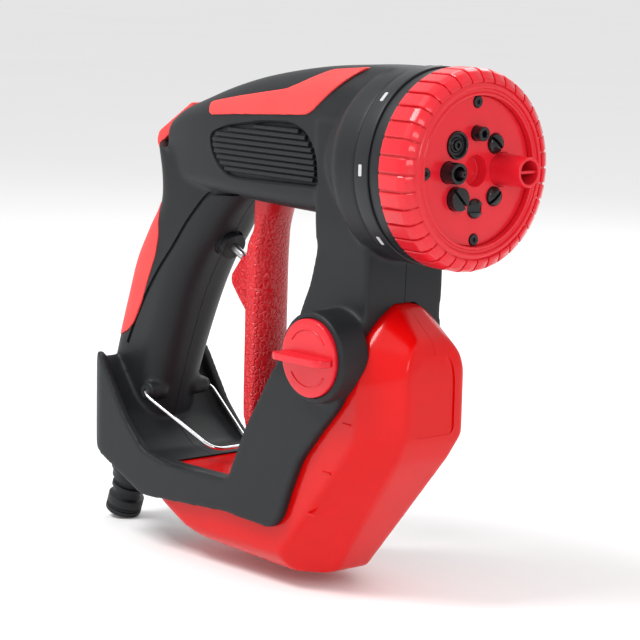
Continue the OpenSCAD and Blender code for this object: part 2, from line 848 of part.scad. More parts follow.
left_shell();
right_shell();
left_shoulder_inlay();
right_shoulder_inlay();
left_grille();
right_grille();
rear_grip();
shell_screws();
inlet_nut();
hose_plug();
plug_seal();
inlet_filter();
supply_tube();
valve_body();
gland_nut();
gland_seal();
valve_stem();
valve_poppet();
valve_spring();
delivery_tube();
head_plate();
port_seal();
detent_plunger();
detent_spring();
dial_ring();
dial_face();
dial_rotor();
trim_ring();
pattern_ring();
face_screws();
jet_outlet();
shower_outlet();
foam_tube();
angle_outlet();
soaker_outlet();
flat_outlet();
cone_outlet();
mist_outlet();
trigger();
trigger_pin();
wire_lock();
wire_bushes();
bottle();
fill_gasket();
fill_cap();
soap_grommet();
soap_tube();
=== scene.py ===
"""Looks of a garden spray gun: moulded shells, pattern dial, trigger, wire lock and soap bottle.

Lengths are written in drawn millimetres, as in the part's source, and UNIT brings them to metres.
"""

import json
import logging
import math
from dataclasses import dataclass
from enum import Enum
from typing import Sequence

import bmesh
import bpy
from mathutils import Matrix, Vector

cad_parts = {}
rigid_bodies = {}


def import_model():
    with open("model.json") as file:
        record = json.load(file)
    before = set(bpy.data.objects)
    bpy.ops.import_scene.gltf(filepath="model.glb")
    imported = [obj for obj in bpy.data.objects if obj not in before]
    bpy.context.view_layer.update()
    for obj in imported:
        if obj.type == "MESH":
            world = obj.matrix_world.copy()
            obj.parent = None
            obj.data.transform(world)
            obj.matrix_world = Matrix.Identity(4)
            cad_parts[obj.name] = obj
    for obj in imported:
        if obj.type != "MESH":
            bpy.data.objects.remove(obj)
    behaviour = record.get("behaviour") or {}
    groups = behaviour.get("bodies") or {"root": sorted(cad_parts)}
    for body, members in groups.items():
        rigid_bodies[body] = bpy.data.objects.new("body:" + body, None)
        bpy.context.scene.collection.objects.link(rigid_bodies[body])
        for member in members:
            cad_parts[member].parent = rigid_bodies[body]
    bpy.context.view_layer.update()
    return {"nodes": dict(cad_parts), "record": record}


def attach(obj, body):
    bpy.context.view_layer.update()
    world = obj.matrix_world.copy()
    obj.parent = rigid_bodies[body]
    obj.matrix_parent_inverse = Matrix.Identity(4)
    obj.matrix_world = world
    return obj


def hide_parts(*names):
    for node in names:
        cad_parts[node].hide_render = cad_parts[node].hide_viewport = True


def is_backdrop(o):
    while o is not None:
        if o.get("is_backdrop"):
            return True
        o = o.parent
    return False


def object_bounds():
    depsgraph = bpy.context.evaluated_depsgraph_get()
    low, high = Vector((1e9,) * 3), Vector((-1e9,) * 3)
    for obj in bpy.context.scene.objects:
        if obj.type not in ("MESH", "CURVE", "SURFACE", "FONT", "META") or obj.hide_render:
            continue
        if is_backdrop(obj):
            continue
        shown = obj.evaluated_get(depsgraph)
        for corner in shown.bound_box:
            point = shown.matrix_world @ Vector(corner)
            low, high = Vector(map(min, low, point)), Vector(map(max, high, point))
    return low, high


LOG = logging.getLogger("spray_gun")
# Metres in a drawn millimetre
UNIT = 0.87e-3
# Height of the spray axis
AXIS_Z = 188.0
# Radius at which a turned profile meets its own axis
TIP = 0.01

Pair = tuple[float, float]
Rows = tuple[tuple[float, ...], ...]
Colour = tuple[float, float, float]
Object = bpy.types.Object


def turn_y(degrees: float) -> Matrix:
    """A turn about Y."""
    return Matrix.Rotation(math.radians(degrees), 4, "Y")


# Places whose local Z runs up the grip, along the valve, forward from the dial and up the soap tube
GRIP = turn_y(20)
VALVE = Matrix.Translation((82.9, 0, 139.4)) @ turn_y(115)
ALONG_X = Matrix.Translation((0, 0, AXIS_Z)) @ turn_y(90)
SOAP_WAY = Matrix.Translation((177, 0, 0))


class Op(Enum):
    """How one solid is combined with another."""

    ADD = "UNION"
    CUT = "DIFFERENCE"
    KEEP = "INTERSECT"


class Side(Enum):
    """Side of the middle plane, as the sign of Y."""

    LEFT = 1
    RIGHT = -1


# ---- Outlines and curves ----


def soft(points: Sequence[Pair], radius: float, closed: bool = True, steps: int = 4) -> list[Pair]:
    """Rounds the corners of a path.

    Args:
        points: corners of the path.
        radius: how far from a corner its bend starts.
        closed: whether the last point joins the first.
        steps: spans in each bend.

    Returns:
        The rounded path.
    """
    count = len(points)
    result: list[Pair] = []
    for i, corner in enumerate(points):
        if not closed and i in (0, count - 1):
            result.append((corner[0], corner[1]))
            continue
        here = Vector(corner)
        ends = []
        for other in (points[i - 1], points[(i + 1) % count]):
            away = Vector(other) - here
            ends.append(here + away.normalized() * min(radius, away.length * 0.45))
        for k in range(steps + 1):
            t = k / steps
            p = ends[0] * (1 - t) ** 2 + here * 2 * t * (1 - t) + ends[1] * t ** 2
            result.append((p.x, p.y))
    return result


def rounded_box(width: float, height: float, radius: float, low_radius: float) -> list[Pair]:
    """A centred rectangle with round corners; low_radius is that of the two lower ones."""
    steps = 8
    corners = ((1, 1, radius, 0), (-1, 1, radius, 90), (-1, -1, low_radius, 180), (1, -1, low_radius, 270))
    result = []
    for sx, sy, r, start in corners:
        for k in range(steps + 1):
            a = math.radians(start + 90 * k / steps)
            result.append((sx * (width / 2 - r) + r * math.cos(a), sy * (height / 2 - r) + r * math.sin(a)))
    return result


def row_at(rows: Sequence[Sequence[float]], at: float) -> list[float]:
    """Smoothly interpolates a table whose first column is the position.

    Args:
        rows: the table, in rising order.
        at: the position asked for.

    Returns:
        The other columns' values there.
    """
    last = len(rows) - 1
    i = max(k for k in range(last) if rows[k][0] <= at or k == 0)
    low, high = rows[i], rows[i + 1]
    span = high[0] - low[0]
    t = min(1.0, max(0.0, (at - low[0]) / span))
    before, after = rows[max(i - 1, 0)], rows[min(i + 2, last)]
    result = []
    for c in range(1, len(low)):
        m0 = (high[c] - before[c]) / (high[0] - before[0]) * span
        m1 = (after[c] - low[c]) / (after[0] - low[0]) * span
        result.append((2 * t ** 3 - 3 * t ** 2 + 1) * low[c] + (t ** 3 - 2 * t ** 2 + t) * m0
                      + (3 * t ** 2 - 2 * t ** 3) * high[c] + (t ** 3 - t ** 2) * m1)
    return result


def steps_between(start: float, stop: float, count: int) -> list[float]:
    """Evenly spaced values from start to stop."""
    return [start + (stop - start) * i / count for i in range(count + 1)]


# ---- Solids ----


def link(mesh: bpy.types.Mesh, name: str) -> Object:
    """Puts a mesh in the scene as an object."""
    obj = bpy.data.objects.new(name, mesh)
    bpy.context.scene.collection.objects.link(obj)
    return obj


def solid(name: str, points: Sequence[Sequence[float]], faces: Sequence[Sequence[int]],
          place: Matrix | None = None) -> Object:
    """Makes a closed mesh with its faces turned outwards.

    Args:
        name: name of the object.
        points: corners in drawn millimetres.
        faces: corner numbers of each face.
        place: where the points go.

    Returns:
        The object, in metres.
    """
    mesh = bpy.data.meshes.new(name)
    mesh.from_pydata([tuple(p) for p in points], [], [tuple(f) for f in faces])
    mesh.transform(Matrix.Scale(UNIT, 4) @ (place or Matrix.Identity(4)))
    form = bmesh.new()
    form.from_mesh(mesh)
    bmesh.ops.remove_doubles(form, verts=form.verts, dist=1e-7)
    bmesh.ops.recalc_face_normals(form, faces=form.faces)
    form.to_mesh(mesh)
    form.free()
    return link(mesh, name)


def loft(name: str, rings: Sequence[Sequence[Sequence[float]]], place: Matrix | None = None) -> Object:
    """A closed form through rings with equally many points."""
    n = len(rings[0])
    points = [p for ring in rings for p in ring]
    faces = [(i * n + k, i * n + (k + 1) % n, (i + 1) * n + (k + 1) % n, (i + 1) * n + k)
             for i in range(len(rings) - 1) for k in range(n)]
    faces += [tuple(range(n)), tuple(range(len(points) - n, len(points)))]
    return solid(name, points, faces, place)


def prism(name: str, outline: Sequence[Pair], y0: float, y1: float) -> Object:
    """An outline in X and Z, given thickness along Y."""
    return loft(name, [[(x, y, z) for x, z in outline] for y in (y0, y1)])


def slice_x(name: str, outline: Sequence[Pair], x0: float, x1: float) -> Object:
    """An outline in Y and Z, given length along X."""
    return loft(name, [[(x, y, z) for y, z in outline] for x in (x0, x1)])


def block(name: str, low: Sequence[float], high: Sequence[float]) -> Object:
    """A plain box for cutting, between two corners."""
    (x0, y0, z0), (x1, y1, z1) = low, high
    return prism(name, [(x0, z0), (x1, z0), (x1, z1), (x0, z1)], y0, y1)


def lathe(name: str, profile: Sequence[Pair], place: Matrix, segments: int = 96,
          closed: bool = False) -> Object:
    """Turns a profile round the local Z axis.

    Args:
        name: name of the object.
        profile: pairs of position along the axis and radius.
        place: puts the local Z axis where it belongs.
        segments: faces round the axis.
        closed: whether the profile is a loop, as for a ring.

    Returns:
        The turned solid.
    """
    turns = [math.tau * k / segments for k in range(segments)]
    rings = [[(r * math.cos(t), r * math.sin(t), a) for t in turns] for a, r in profile]
    if not closed:
        return loft(name, rings, place)
    n, count = segments, len(rings)
    faces = [(i * n + k, i * n + (k + 1) % n, (i + 1) % count * n + (k + 1) % n, (i + 1) % count * n + k)
             for i in range(count) for k in range(n)]
    return solid(name, [p for ring in rings for p in ring], faces, place)


def spindle(*profile: Pair) -> list[Pair]:
    """A turned profile, closed on its axis at both ends."""
    return [(profile[0][0], TIP), *profile, (profile[-1][0], TIP)]


def bore(name: str, start: float, stop: float, radius: float, place: Matrix, segments: int = 64) -> Object:
    """A straight round bar along the local Z axis, for cutting."""
    return lathe(name, spindle((start, radius), (stop, radius)), place, segments)


def rod_y(name: str, x: float, z: float, radius: float, y0: float, y1: float,
          bend: float = 0.0, segments: int = 64) -> Object:
    """A round bar along Y, with rounded rims when bend is given."""
    place = Matrix.Translation((x, 0, z)) @ Matrix.Rotation(math.radians(-90), 4, "X")
    profile = spindle((y0, radius), (y1, radius))
    return lathe(name, soft(profile, bend, closed=False) if bend else profile, place, segments)


def clock(radius: float, hour_angle: float) -> Matrix:
    """A place on the dial: local Z points forward, hour_angle is clockwise from the top."""
    a = math.radians(hour_angle)
    return Matrix.Translation((0, radius * math.sin(a), AXIS_Z + radius * math.cos(a))) @ turn_y(90)


def baked(obj: Object) -> Object:
    """Replaces an object's mesh by what its modifiers make of it."""
    view = bpy.context.evaluated_depsgraph_get()
    mesh = bpy.data.meshes.new_from_object(obj.evaluated_get(view))
    obj.modifiers.clear()
    old = obj.data
    obj.data = mesh
    bpy.data.meshes.remove(old)
    return obj


def discard(obj: Object) -> None:
    """Removes a helper object and its mesh."""
    mesh = obj.data
    bpy.data.objects.remove(obj)
    bpy.data.meshes.remove(mesh)


def combine(base: Object, op: Op, *tools: Object) -> Object:
    """Adds, cuts or intersects solids, and removes the tools.

    Args:
        base: the solid that stays.
        op: what is done with each tool.
        tools: the other solids.

    Returns:
        The base with its new mesh.
    """
    for tool in tools:
        before = len(base.data.polygons)
        modifier = base.modifiers.new("combine", "BOOLEAN")
        modifier.operation = op.value
        modifier.object = tool
        modifier.solver = "MANIFOLD"
        baked(base)
        if len(base.data.polygons) == before:
            LOG.warning("%s: %s with %s changed nothing", base.name, op.name, tool.name)
        discard(tool)
    return base


def copy_of(obj: Object, name: str) -> Object:
    """A second object with its own mesh."""
    return link(obj.data.copy(), name)


def skin(obj: Object, cell: float, passes: int) -> Object:
    """Turns overlapping solids into one skin and softens its edges.

    Args:
        obj: the form.
        cell: size of the new faces, in drawn millimetres.
        passes: how often the skin is smoothed.

    Returns:
        The object with its new mesh.
    """
    remesh = obj.modifiers.new("skin", "REMESH")
    remesh.mode = "VOXEL"
    remesh.voxel_size = cell * UNIT
    remesh.use_smooth_shade = True
    smooth = obj.modifiers.new("soften", "SMOOTH")
    smooth.factor = 0.5
    smooth.iterations = passes
    return baked(obj)


def tube(name: str, path: Sequence[Vector], radius: float, sides: int = 10) -> Object:
    """A round bar along a path, square to it at every point."""
    points, normal = [], None
    for i, p in enumerate(path):
        ahead = (path[min(i + 1, len(path) - 1)] - path[max(i - 1, 0)]).normalized()
        if normal is None:
            normal = ahead.orthogonal().normalized()
        normal = (normal - ahead * normal.dot(ahead)).normalized()
        other = ahead.cross(normal)
        turns = [math.tau * k / sides for k in range(sides)]
        points.append([p + (normal * math.cos(a) + other * math.sin(a)) * radius for a in turns])
    return loft(name, points)


# ---- Geometry Nodes ----


def add_node(tree: bpy.types.NodeTree, kind: str, settings: dict | None, inputs: dict) -> bpy.types.Node:
    """Adds a node to a tree, sets it, and feeds its inputs with values or sockets."""
    made = tree.nodes.new(kind)
    for key, value in (settings or {}).items():
        setattr(made, key, value)
    feed(tree, made, inputs)
    return made


def feed(tree: bpy.types.NodeTree, target: bpy.types.Node, inputs: dict) -> None:
    """Sets or links the inputs of a node."""
    for key, value in inputs.items():
        if isinstance(value, bpy.types.NodeSocket):
            tree.links.new(value, target.inputs[key])
        else:
            target.inputs[key].default_value = value


class NodeTree:
    """A small Geometry Nodes tree with named inputs."""

    def __init__(self, name: str) -> None:
        """Starts a tree that takes and gives geometry."""
        self.tree = bpy.data.node_groups.new(name, "GeometryNodeTree")
        self.tree.interface.new_socket("Geometry", in_out="OUTPUT", socket_type="NodeSocketGeometry")
        self.tree.interface.new_socket("Geometry", in_out="INPUT", socket_type="NodeSocketGeometry")
        self.inputs = self.tree.nodes.new("NodeGroupInput")
        self.output = self.tree.nodes.new("NodeGroupOutput")
        self.ids: dict[str, str] = {}

    def size(self, name: str, kind: str) -> bpy.types.NodeSocket:
        """Adds a named input and returns its socket inside the tree."""
        socket = self.tree.interface.new_socket(name, in_out="INPUT", socket_type=kind)
        self.ids[name] = socket.identifier
        return next(s for s in self.inputs.outputs if s.identifier == socket.identifier)

    def node(self, kind: str, settings: dict | None = None, **links: object) -> bpy.types.Node:
        """Adds a node; an underscore in an input's name stands for a blank."""
        return add_node(self.tree, kind, settings, {key.replace("_", " "): v for key, v in links.items()})

    def finish(self, geometry: bpy.types.NodeSocket, material: bpy.types.NodeSocket) -> None:
        """Ends the tree in Realize Instances and Set Material."""
        real = self.node("GeometryNodeRealizeInstances", Geometry=geometry)
        painted = self.node("GeometryNodeSetMaterial", Geometry=real.outputs[0], Material=material)
        self.tree.links.new(painted.outputs[0], self.output.inputs[0])

    def apply(self, obj: Object, **values: object) -> Object:
        """Runs the tree on an object, sets its inputs by identifier and keeps the plain mesh."""
        modifier = obj.modifiers.new(self.tree.name, "NODES")
        modifier.node_group = self.tree
        for key, value in values.items():
            modifier[self.ids[key]] = value
        obj.update_tag()
        return baked(obj)


def turning_tree() -> NodeTree:
    """A tree that repeats a piece round a line through a centre, parallel to X."""
    tree = NodeTree("turn_round_axis")
    piece = tree.size("Piece", "NodeSocketObject")
    count = tree.size("Count", "NodeSocketInt")
    centre = tree.size("Centre", "NodeSocketVector")
    first = tree.size("First", "NodeSocketFloat")
    finish = tree.size("Finish", "NodeSocketMaterial")
    shape = tree.node("GeometryNodeObjectInfo", Object=piece)
    points = tree.node("GeometryNodePoints", Count=count)
    index = tree.node("GeometryNodeInputIndex")
    share = add_node(tree.tree, "ShaderNodeMath", {"operation": "DIVIDE"}, {0: index.outputs[0], 1: count})
    angle = add_node(tree.tree, "ShaderNodeMath", {"operation": "MULTIPLY_ADD"},
                     {0: share.outputs[0], 1: math.tau, 2: first})
    turn = tree.node("ShaderNodeCombineXYZ", X=angle.outputs[0])
    copies = tree.node("GeometryNodeInstanceOnPoints", Points=points.outputs[0],
                       Instance=shape.outputs["Geometry"], Rotation=turn.outputs[0])
    moved = tree.node("GeometryNodeTransform", Geometry=copies.outputs[0], Translation=centre)
    tree.finish(moved.outputs[0], finish)
    return tree


def rib_tree() -> NodeTree:
    """A tree that gives every edge of a mesh a round section."""
    tree = NodeTree("rib_along_edges")
    radius = tree.size("Radius", "NodeSocketFloat")
    finish = tree.size("Finish", "NodeSocketMaterial")
    curve = tree.node("GeometryNodeMeshToCurve", Mesh=tree.inputs.outputs[0])
    section = tree.node("GeometryNodeCurvePrimitiveCircle", Resolution=14, Radius=radius)
    swept = tree.node("GeometryNodeCurveToMesh", Curve=curve.outputs[0],
                      Profile_Curve=section.outputs[0], Fill_Caps=True)
    tree.finish(swept.outputs[0], finish)
    return tree


# ---- Finishes ----

# Size in real mm of the clouds that make a surface uneven
CLOUD_MM = 14.0
# How wide the creases of leather are, as a share of a cell
CREASE_SHARE = 0.22
# Height in metres up to which a leather surface is grained, and how far its edge fades
GRAIN_TOP, FADE = 0.134, 0.006
COAT_ROUGHNESS = 0.06
# How deep light goes into plastic, in metres, and how its colours share that depth
GLOW_DEPTH = 0.003
GLOW_COLOUR = (1.0, 0.08, 0.06)


class Value:
    """A number inside a shader, with the usual signs of arithmetic."""

    def __init__(self, graph: "Graph", socket: bpy.types.NodeSocket) -> None:
        """Wraps a socket of the graph."""
        self.graph = graph
        self.socket = socket

    def _math(self, operation: str, left: object, right: object) -> "Value":
        """Adds a Math node for two values or numbers."""
        made = self.graph.node("ShaderNodeMath", {"operation": operation}, {0: left, 1: right})
        return Value(self.graph, made.outputs[0])

    def __add__(self, other: object) -> "Value":
        """Sum."""
        return self._math("ADD", self, other)

    def __radd__(self, other: object) -> "Value":
        """Sum, with the number first."""
        return self._math("ADD", other, self)

    def __mul__(self, other: object) -> "Value":
        """Product."""
        return self._math("MULTIPLY", self, other)

    def __rmul__(self, other: object) -> "Value":
        """Product, with the number first."""
        return self._math("MULTIPLY", other, self)


class Graph:
    """The shader of one finish."""

    def __init__(self, name: str) -> None:
        """Starts a material with its coordinates and its surface shader."""
        self.material = bpy.data.materials.new(name)
        self.material.use_nodes = True
        self.tree = self.material.node_tree
        self.surface = next(n for n in self.tree.nodes if n.type == "BSDF_PRINCIPLED")
        self.coordinates = self.tree.nodes.new("ShaderNodeTexCoord").outputs["Object"]

    def node(self, kind: str, settings: dict | None = None, inputs: dict | None = None) -> bpy.types.Node:
        """Adds a node, sets it, and feeds its inputs with values, numbers or sockets."""
        made = add_node(self.tree, kind, settings, {})
        self.feed(made, inputs or {})
        return made

    def feed(self, target: bpy.types.Node, inputs: dict) -> None:
        """Feeds the inputs of a node, with values unwrapped."""
        feed(self.tree, target, {k: v.socket if isinstance(v, Value) else v for k, v in inputs.items()})

    def noise(self, size_mm: float, detail: float = 2.0) -> Value:
        """Cloudy variation with features of a given size."""
        made = self.node("ShaderNodeTexNoise", None, {"Vector": self.coordinates, "Scale": 1000 / size_mm,
                                                     "Detail": detail})
        return Value(self, made.outputs[0])

    def cells(self, size_mm: float) -> Value:
        """Flat-topped irregular cells of a given size, with creases between them."""
        made = self.node("ShaderNodeTexVoronoi", {"feature": "DISTANCE_TO_EDGE"},
                         {"Vector": self.coordinates, "Scale": 1000 / size_mm})
        edge = self.node("ShaderNodeMapRange", {"interpolation_type": "SMOOTHSTEP"},
                         {"Value": made.outputs[0], "From Max": CREASE_SHARE})
        return Value(self, edge.outputs[0])

    def below(self, height: float) -> Value:
        """One below a height in metres, fading to nothing just above it."""
        split = self.node("ShaderNodeSeparateXYZ", None, {0: self.coordinates})
        fade = self.node("ShaderNodeMapRange", None,
                         {"Value": split.outputs[2], "From Min": height, "From Max": height + FADE,
                          "To Min": 1.0, "To Max": 0.0})
        return Value(self, fade.outputs[0])

    def blend(self, amount: Value, low: Colour, high: Colour) -> bpy.types.NodeSocket:
        """A colour between two, by an amount."""
        made = self.node("ShaderNodeMix", {"data_type": "RGBA"})
        colours = [s for s in made.inputs if s.type == "RGBA"]
        colours[0].default_value = (*low, 1)
        colours[1].default_value = (*high, 1)
        self.tree.links.new(amount.socket, made.inputs[0])
        return next(s for s in made.outputs if s.type == "RGBA")

    def bump(self, height: Value, depth_mm: float) -> None:
        """Turns a height into the surface's normal."""
        made = self.node("ShaderNodeBump", None, {"Height": height, "Strength": 1.0,
                                                  "Distance": depth_mm / 1000})
        self.feed(self.surface, {"Normal": made.outputs[0]})


@dataclass(frozen=True)
class Plastic:
    """Moulded plastic or rubber with a fine grain and slightly uneven gloss."""

    name: str
    low: Colour
    high: Colour
    roughness: float
    swing: float
    grain_mm: float
    depth_mm: float
    coat: float = 0.0
    glow: float = 0.0
    shine: float = 0.25
    leather: bool = False

    def build(self) -> bpy.types.Material:
        """Makes the material."""
        g = Graph(self.name)
        cloud = g.noise(CLOUD_MM)
        speck = g.noise(self.grain_mm, 3.0)
        g.feed(g.surface, {"Base Color": g.blend(cloud * 0.6 + speck * 0.4, self.low, self.high),
                           "Roughness": cloud * self.swing + (self.roughness - self.swing / 2),
                           "Coat Weight": self.coat, "Coat Roughness": COAT_ROUGHNESS,
                           "Specular IOR Level": self.shine, "Subsurface Weight": self.glow,
                           "Subsurface Scale": GLOW_DEPTH, "Subsurface Radius": GLOW_COLOUR})
        grain = (g.cells(self.grain_mm) + speck * 0.1) * g.below(GRAIN_TOP) if self.leather else speck
        g.bump(grain, self.depth_mm)
        return g.material


@dataclass(frozen=True)
class Metal:
    """Bare metal with faint marks of drawing or turning."""

    name: str
    colour: Colour
    roughness: float
    mark_mm: float
    depth_mm: float = 0.004
    swing: float = 0.08
    dulling: float = 0.82

    def build(self) -> bpy.types.Material:
        """Makes the material."""
        g = Graph(self.name)
        mark = g.noise(self.mark_mm, 3.0)
        dull = tuple(c * self.dulling for c in self.colour)
        g.feed(g.surface, {"Base Color": g.blend(mark, dull, self.colour), "Metallic": 1.0,
                           "Roughness": mark * self.swing + self.roughness})
        g.bump(mark, self.depth_mm)
        return g.material


FINISHES = (
    Plastic("black_plastic", (0.006, 0.007, 0.0085), (0.014, 0.016, 0.019), 0.5, 0.1, 0.5, 0.06, shine=0.3),
    Plastic("ring_black", (0.007, 0.008, 0.01), (0.015, 0.017, 0.02), 0.4, 0.08, 0.6, 0.015, shine=0.35),
    Plastic("outlet_black", (0.004, 0.004, 0.005), (0.01, 0.01, 0.012), 0.25, 0.08, 1.0, 0.01, coat=0.3),
    Plastic("inner_plastic", (0.02, 0.022, 0.025), (0.035, 0.038, 0.042), 0.5, 0.1, 0.8, 0.02),
    Plastic("red_plastic", (0.62, 0.008, 0.018), (0.74, 0.014, 0.028), 0.3, 0.08, 2.5, 0.012,
            coat=0.35, glow=0.06),
    Plastic("trigger_red", (0.56, 0.004, 0.01), (0.7, 0.008, 0.016), 0.32, 0.1, 2.0, 0.28,
            shine=0.5, leather=True),
    Plastic("tank_red", (0.56, 0.0008, 0.001), (0.68, 0.0015, 0.002), 0.2, 0.05, 6.0, 0.02,
            coat=0.15, glow=0.1, shine=0.2),
    Plastic("soft_red", (0.78, 0.05, 0.05), (0.86, 0.08, 0.075), 0.55, 0.06, 0.6, 0.03),
    Plastic("rubber", (0.006, 0.006, 0.006), (0.014, 0.014, 0.014), 0.6, 0.1, 0.7, 0.03),
    Plastic("clear_tube", (0.6, 0.62, 0.64), (0.7, 0.72, 0.74), 0.2, 0.05, 3.0, 0.01),
    Plastic("pale_mark", (0.45, 0.45, 0.46), (0.6, 0.6, 0.61), 0.5, 0.1, 0.8, 0.01),
    Metal("steel", (0.56, 0.56, 0.57), 0.3, 0.8),
    Metal("chrome", (0.78, 0.78, 0.79), 0.1, 1.4),
)


class Workshop:
    """Holds the finishes and trees, and hands over each finished piece."""

    def __init__(self) -> None:
        """Makes every finish and tree once."""
        self.finish = {f.name: f.build() for f in FINISHES}
        self.turning = turning_tree()
        self.ribs = rib_tree()

    def hand_over(self, piece: Object, name: str, finish: str, body: str, *nodes: str,
                  slot: str | None = None, crease: float = 38.0) -> None:
        """Names, paints and fixes a finished piece to its body.

        Args:
            piece: the finished solid.
            name: name of the piece.
            finish: name of its finish.
            body: body it moves with.
            nodes: CAD nodes that it stands for.
            slot: material slot of the record, when it differs from the finish; not used.
            crease: angle above which an edge stays sharp.
        """
        piece.name = name
        mesh = piece.data
        mesh.name = name
        mesh.materials.clear()
        mesh.materials.append(self.finish[finish])
        mesh.shade_smooth()
        mesh.set_sharp_from_angle(angle=math.radians(crease))
        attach(piece, body)
        if nodes:
            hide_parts(*nodes)
        LOG.info("%s: %d faces", name, len(mesh.polygons))

    def repeat(self, pattern: Object, count: int, first: float, finish: str) -> Object:
        """Repeats a piece, made round the X axis, round the spray axis."""
        holder = link(bpy.data.meshes.new("repeat"), "repeat")
        result = self.turning.apply(holder, Piece=pattern, Count=count, Centre=(0, 0, AXIS_Z * UNIT),
                                    First=math.radians(first), Finish=self.finish[finish])
        discard(pattern)
        return result


# ---- The gun ----


# Outlines: SIDE is in X and Z, FRONT in Y and Z, PLAN in X and Y
FRAME_SIDE = [(14, 80), (20, 86), (24, 84), (33, 71), (42, 58), (57, 44), (76, 40), (119.5, 41), (131, 66),
              (151, 98), (155.5, 122), (161, 133), (165.5, 150), (166, 190), (199, 190), (198, 132),
              (196.5, 114), (197, 95), (192, 85), (180, 72), (168, 58), (161, 43), (156, 30), (150, 24.5),
              (117, 26), (57, 22), (18, 39)]
FRAME_FRONT = [(-32.5, 20), (32.5, 20), (32.5, 97), (25, 110), (22.3, 121), (22.3, 192), (-22.3, 192),
               (-22.3, 121), (-25, 110), (-32.5, 97)]
FRAME_PLAN = [(6, -22), (22, -32.5), (210, -32.5), (210, 32.5), (22, 32.5), (6, 22)]
TUB_SIDE = [(0, 96), (20, 96), (60, 96), (122, 60), (120, 40), (74, 39.4), (55, 41.5), (38, 54), (29, 67),
            (19, 80), (14, 84)]
BOTTLE_SIDE = [(60, 24), (66, 39), (118, 39.4), (131, 58), (149, 88), (163, 115), (172, 127), (198, 128.6),
               (216.5, 113.5), (218.4, 105), (218.4, 73), (212, 62), (173, 8), (165, 4), (96, 8.5),
               (86, 11.5)]
BOTTLE_FRONT = [(-20, 3.5), (20, 3.5), (28.4, 12), (28.4, 98), (24.5, 110), (15, 121.5), (5, 128.8),
                (-5, 128.8), (-15, 121.5), (-24.5, 110), (-28.4, 98), (-28.4, 12)]
GRILLE_SIDE = [(88, 193), (100, 196.5), (127, 200), (146, 200.5), (155, 197), (161, 189), (162.5, 176.5),
               (104, 175.5), (96, 178), (89, 186)]
INLAY_SIDE = [(86, 207.3), (110, 211.5), (142, 216.5), (149, 219), (166, 226), (187, 228), (160, 207.7),
              (156, 206), (107, 203), (87.5, 201.3)]
SPINE_SIDE = [(60, 205.4), (35, 190), (33.4, 185), (40.4, 174), (43, 165), (40.6, 157), (32.6, 145),
              (24.2, 130), (11.2, 100), (10.4, 94), (13.2, 94), (27, 129), (35.2, 144), (43.2, 156),
              (46.4, 165), (44, 174), (37.6, 185), (60.5, 201.6)]
PANEL_SIDE = [(46, 158), (48, 150), (49, 142), (47, 132.7), (41.6, 121), (36.4, 110), (29.4, 98.5),
              (24.5, 94), (17, 91), (0, 91), (0, 120), (20, 150), (30, 158)]
GROOVE_SIDE = [(107, 166.2), (94, 165.8), (83.5, 165.4), (80.5, 163.5), (68.5, 150.2), (60, 138.8),
               (50, 127.2), (41, 115.6), (32, 102.2), (24.4, 88.4)]
WIRE_PIVOT = (41.0, 67.5)
CAP_CENTRE = (183.0, 106.0)


def grown(points: Sequence[Pair], by: float) -> list[Pair]:
    """Moves every corner of a closed outline outwards, square to its sides."""
    area = sum(a[0] * b[1] - b[0] * a[1] for a, b in zip(points, list(points[1:]) + [points[0]]))
    turn = 1 if area > 0 else -1
    result = []
    for i, p in enumerate(points):
        before = (Vector(p) - Vector(points[i - 1])).normalized()
        after = (Vector(points[(i + 1) % len(points)]) - Vector(p)).normalized()
        sides = [Vector((d.y, -d.x)) * turn for d in (before, after)]
        middle = (sides[0] + sides[1]).normalized()
        q = Vector(p) + middle * by / max(0.5, middle.dot(sides[0]))
        result.append((q.x, q.y))
    return result


